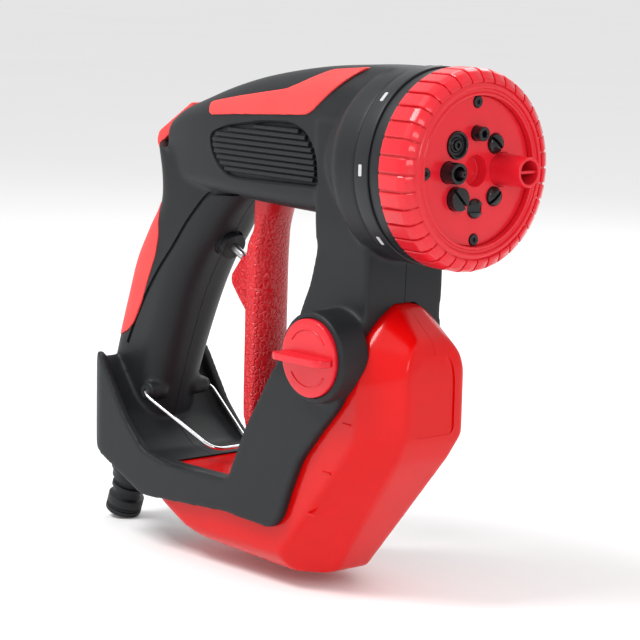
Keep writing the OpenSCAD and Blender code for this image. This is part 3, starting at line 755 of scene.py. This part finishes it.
@dataclass
class Bottle:
    """The soap bottle that hangs between the straps."""

    half_w: float = 28.4
    wall: float = 1.8
    neck_r: float = 11.0
    neck_bore_r: float = 9.2
    # Height, front and half width of the front face, and how far its bevel reaches back
    front_rows: Rows = ((-10, 156, 9, 22), (10, 172, 10, 22), (62, 212, 15.2, 19), (73, 218.4, 16.5, 18),
                        (150, 218.4, 16.5, 18))
    # The front's arch, which the shoulders run out from
    arch: Rows = ((-16.5, -20), (16.5, -20), (16.5, 14), (16.5, 101), (13.6, 109), (8.6, 113), (3, 115),
                  (-3, 115), (-8.6, 113), (-13.6, 109), (-16.5, 101), (-16.5, 14))
    panel: Rows = ((-11.4, 73.5), (11.4, 73.5), (11.4, 98), (9.6, 105), (5, 109.4), (-5, 109.4),
                   (-9.6, 105), (-11.4, 98))
    panel_x: float = 217.7
    # Rear end and height of each level mark
    levels: Rows = ((194, 101), (192, 78), (180, 55), (171, 35))
    level_length: float = 5.0
    level_r: float = 0.55
    # Half width and height of the mould's ridge, and the box in which it shows
    ridge: Pair = (0.3, 0.1)
    ridge_room: Rows = ((150, -5, 76), (260, 5, 160))

    def form(self, grow: float) -> Object:
        """The bottle's outer form, grown on all sides."""
        w = self.half_w + grow
        form = prism("bottle_form", soft(grown(BOTTLE_SIDE, grow), 4), -w, w)
        fronts = ((0, BOTTLE_FRONT), (200 + grow, BOTTLE_FRONT), (219 + grow, self.arch))
        sections = [(x, soft(grown(outline, grow), 4)) for x, outline in fronts]
        across = loft("across", [[(x, y, z) for y, z in outline] for x, outline in sections])
        plans = []
        for z, front, half, reach in self.front_rows:
            near, far = front - reach + grow, front + grow
            plans.append([(px, py, z) for px, py in
                          [(60 - grow, -14), (67, -w), (near, -w), (far, -half - grow), (far, half + grow),
                           (near, w), (67, w), (60 - grow, 14)]])
        return combine(form, Op.KEEP, across, loft("above", plans))

    def parting_line(self) -> Object:
        """The fine ridge that the mould leaves along the middle."""
        half, height = self.ridge
        line = prism("parting_line", soft(grown(BOTTLE_SIDE, height), 5), -half, half)
        return combine(line, Op.KEEP, block("upper", *self.ridge_room))

    def build(self, shop: Workshop) -> None:
        """Makes the hollow bottle with its neck, front panel and level marks."""
        outer = skin(self.form(0), 0.95, 13)
        combine(outer, Op.ADD, self.parting_line())
        combine(outer, Op.CUT, slice_x("panel", soft(self.panel, 3), self.panel_x, 230))
        neck = rod_y("neck", *CAP_CENTRE, self.neck_r, -37.5, -26.0, 0.6)
        combine(outer, Op.ADD, neck)
        inner = self.form(-self.wall)
        mouth = rod_y("mouth", *CAP_CENTRE, self.neck_bore_r, -38.5, -24)
        hole = bore("hole", 120, 134, 4, SOAP_WAY, 32)
        combine(outer, Op.CUT, inner, mouth, hole)
        for side in Side:
            for x, z in self.levels:
                y = side.value * self.half_w
                bar = [Vector((x, y, z)), Vector((x + self.level_length, y, z))]
                combine(outer, Op.ADD, tube("mark", bar, self.level_r))
        shop.hand_over(outer, "soap_bottle", "tank_red", "gun", "bottle")


@dataclass
class Shells:
    """The two body shells with the barrel, head, grip, straps and tub."""

    cell: float = 0.95
    passes: int = 10
    seam: float = 0.3
    groove_half: float = 0.95

    # Position along X, top, bottom, half width and corner radius
    barrel_rows: Rows = ((48, 197.5, 169, 12.5, 8), (58, 202.6, 167.6, 14.8, 9),
                         (72, 207.4, 166.4, 17.3, 11), (96, 215, 165.5, 20, 12.5),
                         (120, 221, 164.6, 21, 13.5), (153, 226.3, 163.6, 21.6, 14),
                         (180, 228.5, 163.1, 22, 15), (199, 229, 163, 22, 16))
    # Position along the grip, rear, front and half width
    grip_rows: Rows = ((37, -20, 20, 16), (64, -20.8, 19, 16.2), (90, -21.5, 18, 16.6),
                       (112, -21.2, 18, 17.3), (132, -20.4, 19, 18), (150, -17.3, 22.5, 17.8),
                       (164, -15, 27.5, 17.2), (176, -20, 31, 16.4), (188, -30.4, 36, 14.6))
    # Position along X and radius
    head_rows: Rows = ((150, 15), (160, 19), (170, 23.2), (178, 27.6), (185, 32.6), (190, 37),
                       (194.5, 40.3))
    # Height, half width and rear edge of the cheeks between the barrel and the head
    cheek_rows: Rows = ((140, 21.8, 166), (162, 23.4, 164.5), (203, 23.6, 163.5), (226, 13, 184))
    screw_spots: Rows = ((66, 194), (150, 178), (178, 214), (28, 112), (190, 140), (12, 68))
    # Distance from the middle plane and growth of the outline, for the flared seat of a grille
    grille_flare: Rows = ((18.0, 0.5), (19.6, 0.9), (21.2, 2.0), (24.0, 5.0))
    groove_depth: float = 1.1
    panel_depth: float = 0.7

    def barrel(self, grow: float) -> Object:
        """The barrel, grown on its top and sides."""
        rings = []
        for x in steps_between(48, 199, 60):
            top, bottom, half_w, r = row_at(self.barrel_rows, x)
            middle = (top + grow + bottom) / 2
            ring = rounded_box(2 * (half_w + grow), top + grow - bottom, r, r * 0.6)
            rings.append([(x, y, middle + z) for y, z in ring])
        return loft("barrel", rings)

    def grip(self, grow: float = 0.0) -> Object:
        """The pistol grip, in the frame of its own axis, grown on all sides."""
        rings = []
        for s in steps_between(37, 188, 60):
            rear, front, half_w = row_at(self.grip_rows, s)
            ring = rounded_box(front - rear + 2 * grow, 2 * (half_w + grow), 12.5 + grow, 12.5 + grow)
            rings.append([((rear + front) / 2 + x, y, s) for x, y in ring])
        return loft("grip", rings, GRIP)

    def head(self) -> Object:
        """The flared head behind the dial."""
        flare = [(x, row_at(self.head_rows, x)[0]) for x in steps_between(150, 194.5, 24)]
        rim = [(194.5, 40.3), (197, 41), (208.6, 41), (209, 40.6), (209, TIP)]
        profile = [(150, TIP)] + flare + soft(rim, 1.0, closed=False)[1:]
        return lathe("head", profile, ALONG_X, 128)

    def straps(self) -> Object:
        """The straps, neck and tub below the barrel."""
        form = prism("straps", soft(FRAME_SIDE, 4), -32.5, 32.5)
        across = slice_x("across", soft(FRAME_FRONT, 4), -20, 260)
        above = loft("above", [[(x, y, z) for x, y in soft(FRAME_PLAN, 4)] for z in (0, 200)])
        combine(form, Op.KEEP, across, above)
        return combine(form, Op.CUT, prism("tub", soft(TUB_SIDE, 3), -28.3, 28.3))

    def cavity(self) -> list[Object]:
        """The room inside the shells."""
        return [
            prism("barrel_room", [(60, 198), (94, 208), (150, 219), (196, 223), (196, 168), (60, 170)],
                  -11, 11),
            lathe("head_room", spindle((155, 12), (182, 24), (195.9, 37.2), (210, 37.2)), ALONG_X, 96),
            loft("grip_room", [[(x, y, s) for x, y in rounded_box(27, 24, 4, 4)] for s in (44, 142)],
                 GRIP @ Matrix.Translation((-1, 0, 0))),
            prism("link_room", [(41, 146), (48, 158), (49, 166), (44, 184), (56, 190), (88, 190), (86, 168),
                                (72, 146), (60, 130), (30, 130)], -10.5, 10.5),
            block("strap_room", (169.6, -20, 133), (195, 20, 191)),
        ]

    def openings(self) -> list[Object]:
        """Everything that is cut through or into the outside."""
        x, z = WIRE_PIVOT
        tools = [
            block("window", (70, -21, 30), (111, 21, 60)),
            block("trigger_slot", (101, -10.4, 150), (127, 10.4, 180)),
            bore("valve_way", -37, 20, 7.3, VALVE),
            lathe("plug_way", spindle((20, 8.2), (44.5, 8.2), (44.5, 5.2), (160, 5.2)), GRIP, 64),
            rod_y("cap_seat", *CAP_CENTRE, 17.3, -40, -37.8, segments=96),
            rod_y("neck_way", *CAP_CENTRE, 11.3, -40, -20, segments=96),
            *(rod_y("bush", x, z, 3.1, *ends) for ends in ((-30, -11.5), (11.5, 30))),
            bore("soap_way", 110, 142, 4.2, SOAP_WAY, 32),
            prism("spine_seat", soft(grown(SPINE_SIDE, 0.15), 1.2), -8.1, 8.1),
        ]
        for side in Side:
            rings = [[(x, side.value * y, z) for x, z in soft(grown(GRILLE_SIDE, by), 5)]
                     for y, by in self.grille_flare]
            tools.append(loft("grille_seat", rings))
        for sx, sz in self.screw_spots:
            tools.append(rod_y("screw_way", sx, sz, 3.0, 9.9, 60, segments=32))
        return tools

    def sunk(self, form: Object, outline: Sequence[Pair], depth: float) -> Object:
        """A tool that cuts an outline to an even depth below a form's sides."""
        core = copy_of(form, "core")
        shrink = core.modifiers.new("shrink", "DISPLACE")
        shrink.strength = -depth * UNIT
        shrink.mid_level = 0
        return combine(prism("sunk", outline, -60, 60), Op.CUT, baked(core))

    def groove(self) -> list[Pair]:
        """Outline of the line that runs under the barrel and down the grip."""
        line = soft(GROOVE_SIDE, 3, closed=False)
        edges = []
        for half in (self.groove_half, -self.groove_half):
            edge = []
            for i, p in enumerate(line):
                ahead = Vector(line[min(i + 1, len(line) - 1)]) - Vector(line[max(i - 1, 0)])
                ahead.normalize()
                edge.append((p[0] - ahead.y * half, p[1] + ahead.x * half))
            edges.append(edge)
        return edges[0] + edges[1][::-1]

    def build(self, shop: Workshop) -> None:
        """Makes both shells and hands them over."""
        x, z = WIRE_PIVOT
        form = self.barrel(0)
        boss = spindle((27.5, 12), (29, 13.8), (33, 15.4), (37, 18), (41, 19.2), (46, 19))
        cheek = loft("cheek", [[(cx, cy, cz) for cx, cy in ((rear, -w), (196, -w), (196, w), (rear, w))]
                               for cz, w, rear in self.cheek_rows])
        combine(form, Op.ADD, self.head(), self.grip(), self.straps(), lathe("boss", boss, GRIP, 96), cheek,
                *(rod_y("wire_boss", x, z, 4.2, *ends, 0.8) for ends in ((-17.6, -8), (8, 17.6))),
                rod_y("collar", *CAP_CENTRE, 19.6, -39.4, -23, 0.8, 96))
        skin(form, self.cell, self.passes)
        groove = self.sunk(form, self.groove(), self.groove_depth)
        combine(form, Op.CUT, groove, self.sunk(form, PANEL_SIDE, self.panel_depth))
        combine(form, Op.CUT, Bottle().form(0.35), *self.cavity(), *self.openings())
        for side, node in ((Side.LEFT, "left_shell"), (Side.RIGHT, "right_shell")):
            near, far = sorted((side.value * self.seam / 2, side.value * 60))
            half = combine(copy_of(form, node), Op.KEEP, block("half", (-20, near, -20), (260, far, 260)))
            shop.hand_over(half, f"{node}_moulding", "black_plastic", "gun", node)
        discard(form)


@dataclass
class Trim:
    """The soft inlays, spine and ribbed grilles."""

    proud: float = 0.9
    sunk: float = 0.8
    panel_proud: float = 0.35
    panel_sunk: float = 0.9
    rib_r: float = 1.05
    rib_step: float = 2.55
    rib_count: int = 9
    rib_low: float = 178.0

    def inlay(self, shop: Workshop, side: Side, shells: Shells) -> None:
        """A soft strip on the shoulder of the barrel."""
        near, far = sorted((side.value * 6, side.value * 40))
        outline = prism("outline", soft(INLAY_SIDE, 2.5), near, far)
        piece = combine(shells.barrel(self.proud), Op.KEEP, outline)
        combine(piece, Op.CUT, shells.barrel(-self.sunk))
        skin(piece, 0.6, 2)
        name = side.name.lower()
        shop.hand_over(piece, f"{name}_inlay", "soft_red", "gun", f"{name}_shoulder_inlay")

    def grille(self, shop: Workshop, side: Side) -> None:
        """Rounded ribs on a plate in the barrel's side."""
        outline = soft(grown(GRILLE_SIDE, -0.4), 5)
        near, far = sorted((side.value * 17.6, side.value * 18.5))
        plate = prism("plate", outline, near, far)
        points, edges = [], []
        for i in range(self.rib_count):
            z = self.rib_low + self.rib_step * i
            crossings = []
            for a, b in zip(outline, outline[1:] + outline[:1]):
                if (a[1] > z) != (b[1] > z):
                    crossings.append(a[0] + (b[0] - a[0]) * (z - a[1]) / (b[1] - a[1]))
            low, high = min(crossings) + self.rib_r, max(crossings) - self.rib_r
            edges.append((len(points), len(points) + 1))
            points += [(low, side.value * 18.8, z), (high, side.value * 19.4, z)]
        mesh = bpy.data.meshes.new("rib_lines")
        mesh.from_pydata([tuple(c * UNIT for c in p) for p in points], edges, [])
        ribs = shop.ribs.apply(link(mesh, "ribs"), Radius=self.rib_r * UNIT,
                               Finish=shop.finish["black_plastic"])
        combine(plate, Op.ADD, ribs)
        name = f"{side.name.lower()}_grille"
        shop.hand_over(plate, f"{name}_ribs", "black_plastic", "gun", name)

    def build(self, shop: Workshop, shells: Shells) -> None:
        """Makes the trim of both sides."""
        for side in Side:
            self.inlay(shop, side, shells)
            self.grille(shop, side)
        spine = skin(prism("spine", soft(SPINE_SIDE, 1.2), -7.9, 7.9), 0.7, 3)
        outline = prism("outline", soft(grown(PANEL_SIDE, -0.2), 2), -40, 40)
        panel = combine(shells.grip(self.panel_proud), Op.KEEP, outline)
        combine(panel, Op.CUT, shells.grip(-self.panel_sunk))
        combine(spine, Op.ADD, skin(panel, 0.55, 2))
        shop.hand_over(spine, "soft_spine", "soft_red", "gun", "rear_grip")


@dataclass
class Dial:
    """The ribbed dial with its face, rings, screws and outlets."""

    radius: float = 42.3
    rib_count: int = 36
    # Angle between the pads
    rib_gap: float = 1.44
    circle_r: float = 15.5
    screw_r: float = 28.4
    face_x: float = 238.0
    # Radius of each outlet's hole in the face, clockwise from the top, and the gap round the outlet
    outlet_radii: tuple[float, ...] = (3.2, 4.3, 7.2, 4.1, 4.1, 5.0, 4.6, 5.8)
    outlet_gap: float = 0.12

    def ring(self, shop: Workshop) -> None:
        """The outer ring with a pad at each rib."""
        section = [(223.5, 33.5), (223.5, 41), (236.5, 41), (239.6, 38.8), (240.2, 36.2), (240.9, 35.2),
                   (240.9, 34.2), (239.7, 33.8), (239.7, 32.6), (240.4, 32.2), (240.4, 31.2), (237.6, 30.9),
                   (237.6, 33.5)]
        core = lathe("core", soft(section, 0.45), ALONG_X, 180, closed=True)
        outline = soft([(224.2, 39.5), (224.2, self.radius), (235.6, self.radius), (238.6, 41.2),
                        (240.8, 38.0), (240.8, 36.6), (238, 37)], 0.8)
        half = 180 / self.rib_count - self.rib_gap / 2
        sections = []
        for k, inset in ((-1.0, 0.35), (-0.88, 0.08), (0.88, 0.08), (1.0, 0.35)):
            a = math.radians(half * k)
            sections.append([(x, -(r - inset) * math.sin(a), (r - inset) * math.cos(a)) for x, r in outline])
        pads = shop.repeat(loft("pad", sections), self.rib_count, 5, "red_plastic")
        combine(core, Op.ADD, pads)
        shop.hand_over(core, "ribbed_ring", "red_plastic", "dial", "dial_ring", crease=30)

    def face(self, shop: Workshop) -> None:
        """The recessed plate with the holes for outlets and screws."""
        profile = soft(spindle((232, 33.2), (237.4, 33.2), (237.4, 30.9), (237.7, 30.7)), 0.2, closed=False)
        plate = lathe("plate", profile, ALONG_X, 128)
        hollow = soft(spindle((232.6, 6.0), (237.2, 6.4), (239, 7.2)), 0.4, closed=False)
        holes = [lathe("centre", hollow, ALONG_X, 72)]
        for i, r in enumerate(self.outlet_radii):
            holes.append(bore("hole", 231, 240, r + self.outlet_gap, clock(self.circle_r, 45 * i), 48))
        for a in range(0, 360, 90):
            holes.append(bore("screw_hole", 236, 240, 2.7, clock(self.screw_r, a), 32))
        combine(plate, Op.CUT, *holes)
        shop.hand_over(plate, "face_plate", "red_plastic", "dial", "dial_face")

    def screws(self, shop: Workshop) -> None:
        """Four screws with a small hollow in each head."""
        head = spindle((225, 1.4), (236.2, 1.4), (236.2, 2.4), (238.3, 2.4), (238.3, 0.9), (237.2, 0.8))
        place = Matrix.Translation((0, 0, self.screw_r)) @ turn_y(90)
        screw = lathe("screw", soft(head, 0.25, closed=False), place, 32)
        screws = shop.repeat(screw, 4, 0, "outlet_black")
        shop.hand_over(screws, "dial_screws", "outlet_black", "dial", "face_screws")

    def turned(self, index: int, profile: Sequence[Pair], bend: float = 0.25, closed: bool = False) -> Object:
        """A turned outlet piece on the outlet circle; positions are measured from the face."""
        shifted = soft([(self.face_x + a, r) for a, r in profile], bend, closed=closed)
        return lathe("outlet", shifted, clock(self.circle_r, 45 * index), 64, closed)

    def slotted(self, index: int, profile: Sequence[Pair], bend: float, width: float, floor: float,
                angle: float) -> Object:
        """A turned outlet with a slot cut across it."""
        outlet = self.turned(index, profile, bend)
        place = clock(self.circle_r, 45 * index) @ Matrix.Rotation(math.radians(angle), 4, "Z")
        ring = [(-9, -width / 2), (9, -width / 2), (9, width / 2), (-9, width / 2)]
        ends = (self.face_x + floor, self.face_x + 9)
        return combine(outlet, Op.CUT, loft("slot", [[(x, y, a) for x, y in ring] for a in ends], place))

    def outlets(self, shop: Workshop) -> None:
        """All eight outlets, clockwise from the top."""
        jet = self.turned(0, [(-6, 1.5), (-6, 3.15), (4.5, 3.0), (4.5, 1.5)], 0.4, closed=True)
        dome = [(-6, TIP), (-6, 4.2), (0.3, 4.2), (1.3, 3.6), (1.9, 2.2), (2.1, TIP)]
        shower = self.slotted(1, dome, 0.5, 1.3, -0.2, 50)
        foam = self.turned(2, [(-6, 4.7), (-6, 7.2), (-0.2, 7.15), (0.6, 6.9), (15.5, 6.15), (15.5, 5.0),
                               (5, 4.75)], closed=True)
        vane = [(-0.55, -5.0), (0.55, -5.0), (0.55, 5.0), (-0.55, 5.0)]
        bars = loft("vane", [[(x, y, self.face_x + a) for x, y in vane] for a in (-2, 14.2)],
                    clock(self.circle_r, 90))
        combine(foam, Op.ADD, bars, self.turned(2, spindle((-4, 4.9), (-2, 4.9)), 0.2))
        angle = self.slotted(3, dome, 0.5, 1.3, -0.2, -50)
        soaker = self.slotted(4, dome, 0.5, 3.2, -0.6, 90)
        flat = self.slotted(5, spindle((-6, 4.9), (3.2, 4.9)), 0.4, 1.3, 1.4, 45)
        cone = self.turned(6, [(-6, 3.0), (-6, 4.5), (6.4, 4.4), (6.4, 3.0)], 0.4, closed=True)
        pin = spindle((-5, 3.05), (-3, 3.05), (-3, 1.5), (7.4, 1.5), (9, 1.2), (9, 0.4), (7, 0.4))
        combine(cone, Op.ADD, self.turned(6, pin, 0.2))
        waves = spindle((-6, 5.7), (0.5, 5.7), (0.8, 5.3), (0.5, 4.8), (-1.2, 4.3), (-1.2, 3.2), (-0.6, 2.9),
                        (-0.6, 2.3), (0.6, 2.0), (0.8, 1.6), (0.6, 1.0), (-1, 0.8))
        outlets = {"jet": jet, "shower": shower, "foam": foam, "angle": angle, "soaker": soaker, "flat": flat,
                   "cone": cone, "mist": self.turned(7, waves, 0.3)}
        for name, piece in outlets.items():
            red = name == "foam"
            node = "foam_tube" if red else f"{name}_outlet"
            shop.hand_over(piece, f"{name}_nozzle", "red_plastic" if red else "outlet_black", "dial", node)

    def collars(self, shop: Workshop) -> None:
        """The two black rings behind the ribbed ring, with eight plain pattern marks."""
        for name, node, outer, inner, x0, x1, bend in (
                ("trim_band", "trim_ring", 40.9, 33.5, 217.5, 223.4, 0.5),
                ("pattern_band", "pattern_ring", 41.8, 38.7, 209.4, 217.3, 0.6)):
            section = soft([(x0, inner), (x0, outer), (x1, outer), (x1, inner)], bend)
            band = lathe(name, section, ALONG_X, 144, closed=True)
            shop.hand_over(band, name, "ring_black", "dial", node, slot="black_plastic")
        outline = soft([(212.4, -2.4), (214.2, -2.4), (214.2, 2.4), (212.4, 2.4)], 0.6)
        bar = loft("bar", [[(x, y, z) for x, y in outline] for z in (41.6, 41.95)])
        marks = shop.repeat(bar, 8, 0, "pale_mark")
        shop.hand_over(marks, "pattern_marks", "pale_mark", "dial", slot="black_plastic")

    def build(self, shop: Workshop) -> None:
        """Makes the whole dial."""
        self.ring(shop)
        self.face(shop)
        self.screws(shop)
        self.outlets(shop)
        self.collars(shop)


@dataclass
class TriggerLever:
    """The squeeze trigger."""

    crown: float = 3.6
    pivot: Pair = (116.0, 170.0)
    # Height, rear, front and half width
    rows: Rows = ((57.6, 105.6, 109, 8), (61, 103.8, 111.6, 9.4), (72, 103, 113, 10), (100, 103, 113.4, 10),
                  (136, 103, 113.6, 10), (144, 104.2, 114, 10), (152, 107.6, 115.2, 9.6),
                  (163, 107.4, 119, 9.2), (170, 109.6, 121.6, 9.2), (175.6, 112, 120.6, 9))
    rib: Rows = ((104, 139.5), (91.8, 136.2), (84.4, 127), (84.6, 123.5), (91.5, 115.5), (104, 103),
                 (108.8, 103), (108.8, 139.5))
    hollow: Rows = ((100, 146), (101, 68), (107.6, 68), (108.2, 134), (105.6, 146))

    def build(self, shop: Workshop) -> None:
        """Makes the lever with its hollow back and its rib."""
        rings = []
        for z in steps_between(self.rows[0][0], self.rows[-1][0], 60):
            rear, front, half_w = row_at(self.rows, z)
            edge = [(front - self.crown * abs(k / 8) ** 2.4, -half_w * k / 8) for k in range(-8, 9)]
            rings.append([(x, y, z) for x, y in [(rear, -half_w)] + edge[::-1] + [(rear, half_w)]])
        lever = skin(loft("lever", rings), 0.75, 5)
        combine(lever, Op.CUT, prism("hollow", soft(self.hollow, 2), -7.6, 7.6))
        combine(lever, Op.ADD, prism("rib", soft(self.rib, 1.5), -2.6, 2.6))
        combine(lever, Op.CUT, rod_y("pin_way", *self.pivot, 2.1, -20, 20))
        shop.hand_over(lever, "trigger_grip", "trigger_red", "trigger_lever", "trigger")


@dataclass
class WireLock:
    """The bent wire that holds the trigger."""

    reach: float = 48.0
    half_w: float = 20.6
    radius: float = 0.9
    slope: float = 27.0

    def build(self, shop: Workshop) -> None:
        """Bends the wire and hands it over."""
        w = self.half_w
        corners = [(0, -11.8), (0, -w), (self.reach, -w * 0.52), (self.reach, w * 0.52), (0, w), (0, 11.8)]
        flat = soft(corners, 7, closed=False, steps=12)
        a = math.radians(self.slope)
        x, z = WIRE_PIVOT
        path = [Vector((x + r * math.cos(a), y, z - r * math.sin(a))) for r, y in flat]
        mesh = bpy.data.meshes.new("wire_line")
        mesh.from_pydata([tuple(p * UNIT) for p in path], [(i, i + 1) for i in range(len(path) - 1)], [])
        wire = shop.ribs.apply(link(mesh, "wire"), Radius=self.radius * UNIT, Finish=shop.finish["chrome"])
        shop.hand_over(wire, "lock_wire", "chrome", "lock", "wire_lock", crease=60)


@dataclass
class SoapCap:
    """The soap cap with its finger wing."""

    radius: float = 16.8
    arc_r: float = 12.4
    arc_span: float = 110.0

    def build(self, shop: Workshop) -> None:
        """Makes the cap; its words are replaced by two plain raised arcs."""
        x, z = CAP_CENTRE
        disc = rod_y("disc", x, z, self.radius, -41.4, -37.95, 0.8, 96)
        plug = rod_y("plug", x, z, 9.13, -38.2, -30.5, segments=64)
        combine(disc, Op.ADD, plug)
        combine(disc, Op.CUT, rod_y("plug_room", x, z, 7.5, -37.9, -30, segments=48))
        wing = soft([(x - 16.4, z - 1.7), (x + 16.4, z - 1.7), (x + 16.4, z + 1.7), (x - 16.4, z + 1.7)], 1.4)
        tab = soft([(x - 16.6, -41), (x - 15.4, -49), (x + 15.4, -49), (x + 16.6, -41)], 3)
        bar = loft("wing", [[(px, -40.8, pz) for px, pz in wing], [(px, -49, pz) for px, pz in wing]])
        combine(bar, Op.KEEP, loft("tab", [[(px, py, pz) for px, py in tab] for pz in (z - 3, z + 3)]))
        combine(disc, Op.ADD, skin(bar, 0.5, 3))
        for start in (35, 215):
            turns = [math.radians(a) for a in steps_between(start, start + self.arc_span, 22)]
            arc = [Vector((x + self.arc_r * math.cos(a), -41.4, z + self.arc_r * math.sin(a))) for a in turns]
            combine(disc, Op.ADD, tube("arc", arc, 0.5))
        shop.hand_over(disc, "soap_cap", "red_plastic", "cap", "fill_cap")


@dataclass(frozen=True)
class TurnedRing:
    """A black ring turned from one section, and the CAD node that it stands for."""

    name: str
    node: str
    place: Matrix
    sides: int
    bend: float
    section: tuple[Pair, ...]


@dataclass
class WaterInlet:
    """The nut, hose plug, gland and stem along the water's way."""

    rings: tuple[TurnedRing, ...] = (
        TurnedRing("coupling_nut", "inlet_nut", GRIP, 96, 0.5,
                   ((18.6, 5.1), (18.6, 9.4), (23, 9.6), (23.2, 10.8), (27.4, 10.8), (28, 9), (36, 8),
                    (36, 5.1))),
        TurnedRing("quick_plug", "hose_plug", GRIP, 96, 0.3,
                   ((0, 4.2), (0, 8.3), (0.6, 8.8), (2.6, 8.8), (2.6, 7.5), (4.4, 7.5), (4.4, 8.8),
                    (8.6, 8.8), (9.2, 6.9), (13, 6.9), (13.2, 8.4), (15.2, 8.4), (15.4, 6.9), (18.4, 6.9),
                    (18.5, 5), (25, 5), (25, 4.2))),
        TurnedRing("stem_gland", "gland_nut", VALVE, 64, 0.35,
                   ((-9, 2.1), (-9, 4.3), (-7, 4.3), (-6.9, 6.9), (-4.8, 6.9), (-4.4, 5.6), (-3.2, 5.6),
                    (-2.8, 6.4), (0, 6.4), (0, 2.1))),
    )

    def build(self, shop: Workshop) -> None:
        """Makes the turned pieces."""
        for ring in self.rings:
            piece = lathe(ring.name, soft(ring.section, ring.bend), ring.place, ring.sides, closed=True)
            shop.hand_over(piece, ring.name, "black_plastic", "gun", ring.node)
        stem = lathe("stem", soft(spindle((-21.4, 2), (7.4, 2), (8.4, 1.2)), 0.3, closed=False), VALVE, 40)
        shop.hand_over(stem, "push_rod", "steel", "stem", "valve_stem")


def paint_cad(frame: dict, shop: Workshop) -> None:
    """Gives every CAD node the finish of its slot."""
    for row in frame["record"]["subparts"]:
        obj = frame["nodes"][row["node"]]
        material = shop.finish[row["material_slot"]]
        if not obj.material_slots:
            obj.data.materials.append(material)
        for place in obj.material_slots:
            place.material = material


@dataclass
class Studio:
    """Camera, floor and soft lights."""

    eye: tuple[float, float, float] = (941.7, -705.3, 279.4)
    bearing: float = 41.47
    height: float = 8.845
    roll: float = 1.383
    field: float = 15.0
    sky: float = 0.85
    floor_half: float = 30.0
    # Place in metres that the lights face
    target: tuple[float, float, float] = (0.1, 0, 0.11)

    def camera(self) -> None:
        """Places the camera by its bearing, height and roll."""
        a, e, t = (math.radians(v) for v in (self.bearing, self.height, self.roll))
        back = Vector((math.cos(a) * math.cos(e), -math.sin(a) * math.cos(e), math.sin(e)))
        level = Vector((math.sin(a), math.cos(a), 0))
        rise = back.cross(level)
        right = level * math.cos(t) + rise * math.sin(t)
        up = back.cross(right)
        data = bpy.data.cameras.new("camera")
        data.sensor_fit = "HORIZONTAL"
        data.angle = math.radians(self.field)
        data.clip_start = 0.01
        obj = bpy.data.objects.new("camera", data)
        turn = Matrix((right, up, back)).transposed().to_4x4()
        obj.matrix_world = Matrix.Translation(Vector(self.eye) * UNIT) @ turn
        bpy.context.scene.collection.objects.link(obj)
        bpy.context.scene.camera = obj

    def light(self, name: str, at: Sequence[float], size: float, power: float) -> None:
        """A square soft light that faces the gun."""
        data = bpy.data.lights.new(name, "AREA")
        data.size = size
        data.energy = power
        obj = bpy.data.objects.new(name, data)
        place = Vector(at)
        obj.location = place
        obj.rotation_euler = (place - Vector(self.target)).to_track_quat("Z", "Y").to_euler()
        bpy.context.scene.collection.objects.link(obj)

    def build(self) -> None:
        """Makes floor, world and lights."""
        self.camera()
        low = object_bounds()[0][2]
        mesh = bpy.data.meshes.new("floor")
        r = self.floor_half
        mesh.from_pydata([(-r, -r, low), (r, -r, low), (r, r, low), (-r, r, low)], [], [(0, 1, 2, 3)])
        floor = link(mesh, "floor")
        pale = Graph("floor_pale")
        cloud = pale.noise(400.0)
        pale.feed(pale.surface, {"Base Color": pale.blend(cloud, (0.9, 0.9, 0.9), (0.93, 0.93, 0.93)),
                                 "Roughness": 0.9, "Specular IOR Level": 0.0})
        mesh.materials.append(pale.material)
        floor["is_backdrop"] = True
        world = bpy.data.worlds.new("studio")
        world.use_nodes = True
        sky = world.node_tree.nodes["Background"]
        sky.inputs[0].default_value = (1, 1, 1, 1)
        sky.inputs[1].default_value = self.sky
        bpy.context.scene.world = world
        bpy.context.scene.view_settings.view_transform = "Standard"
        self.light("key", (-0.1, -0.6, 1.05), 0.4, 9)
        self.light("front", (1.1, -0.5, 0.5), 0.35, 2.5)
        self.light("rim", (-0.3, 0.8, 0.8), 0.6, 3)


def main() -> None:
    """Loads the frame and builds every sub-assembly."""
    logging.basicConfig(level=logging.INFO, format="%(name)s %(message)s")
    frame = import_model()
    Studio().build()
    shop = Workshop()
    paint_cad(frame, shop)
    shells = Shells()
    shells.build(shop)
    Trim().build(shop, shells)
    for assembly in (Bottle(), Dial(), TriggerLever(), WireLock(), SoapCap(), WaterInlet()):
        assembly.build(shop)


if __name__ == "__main__":
    main()
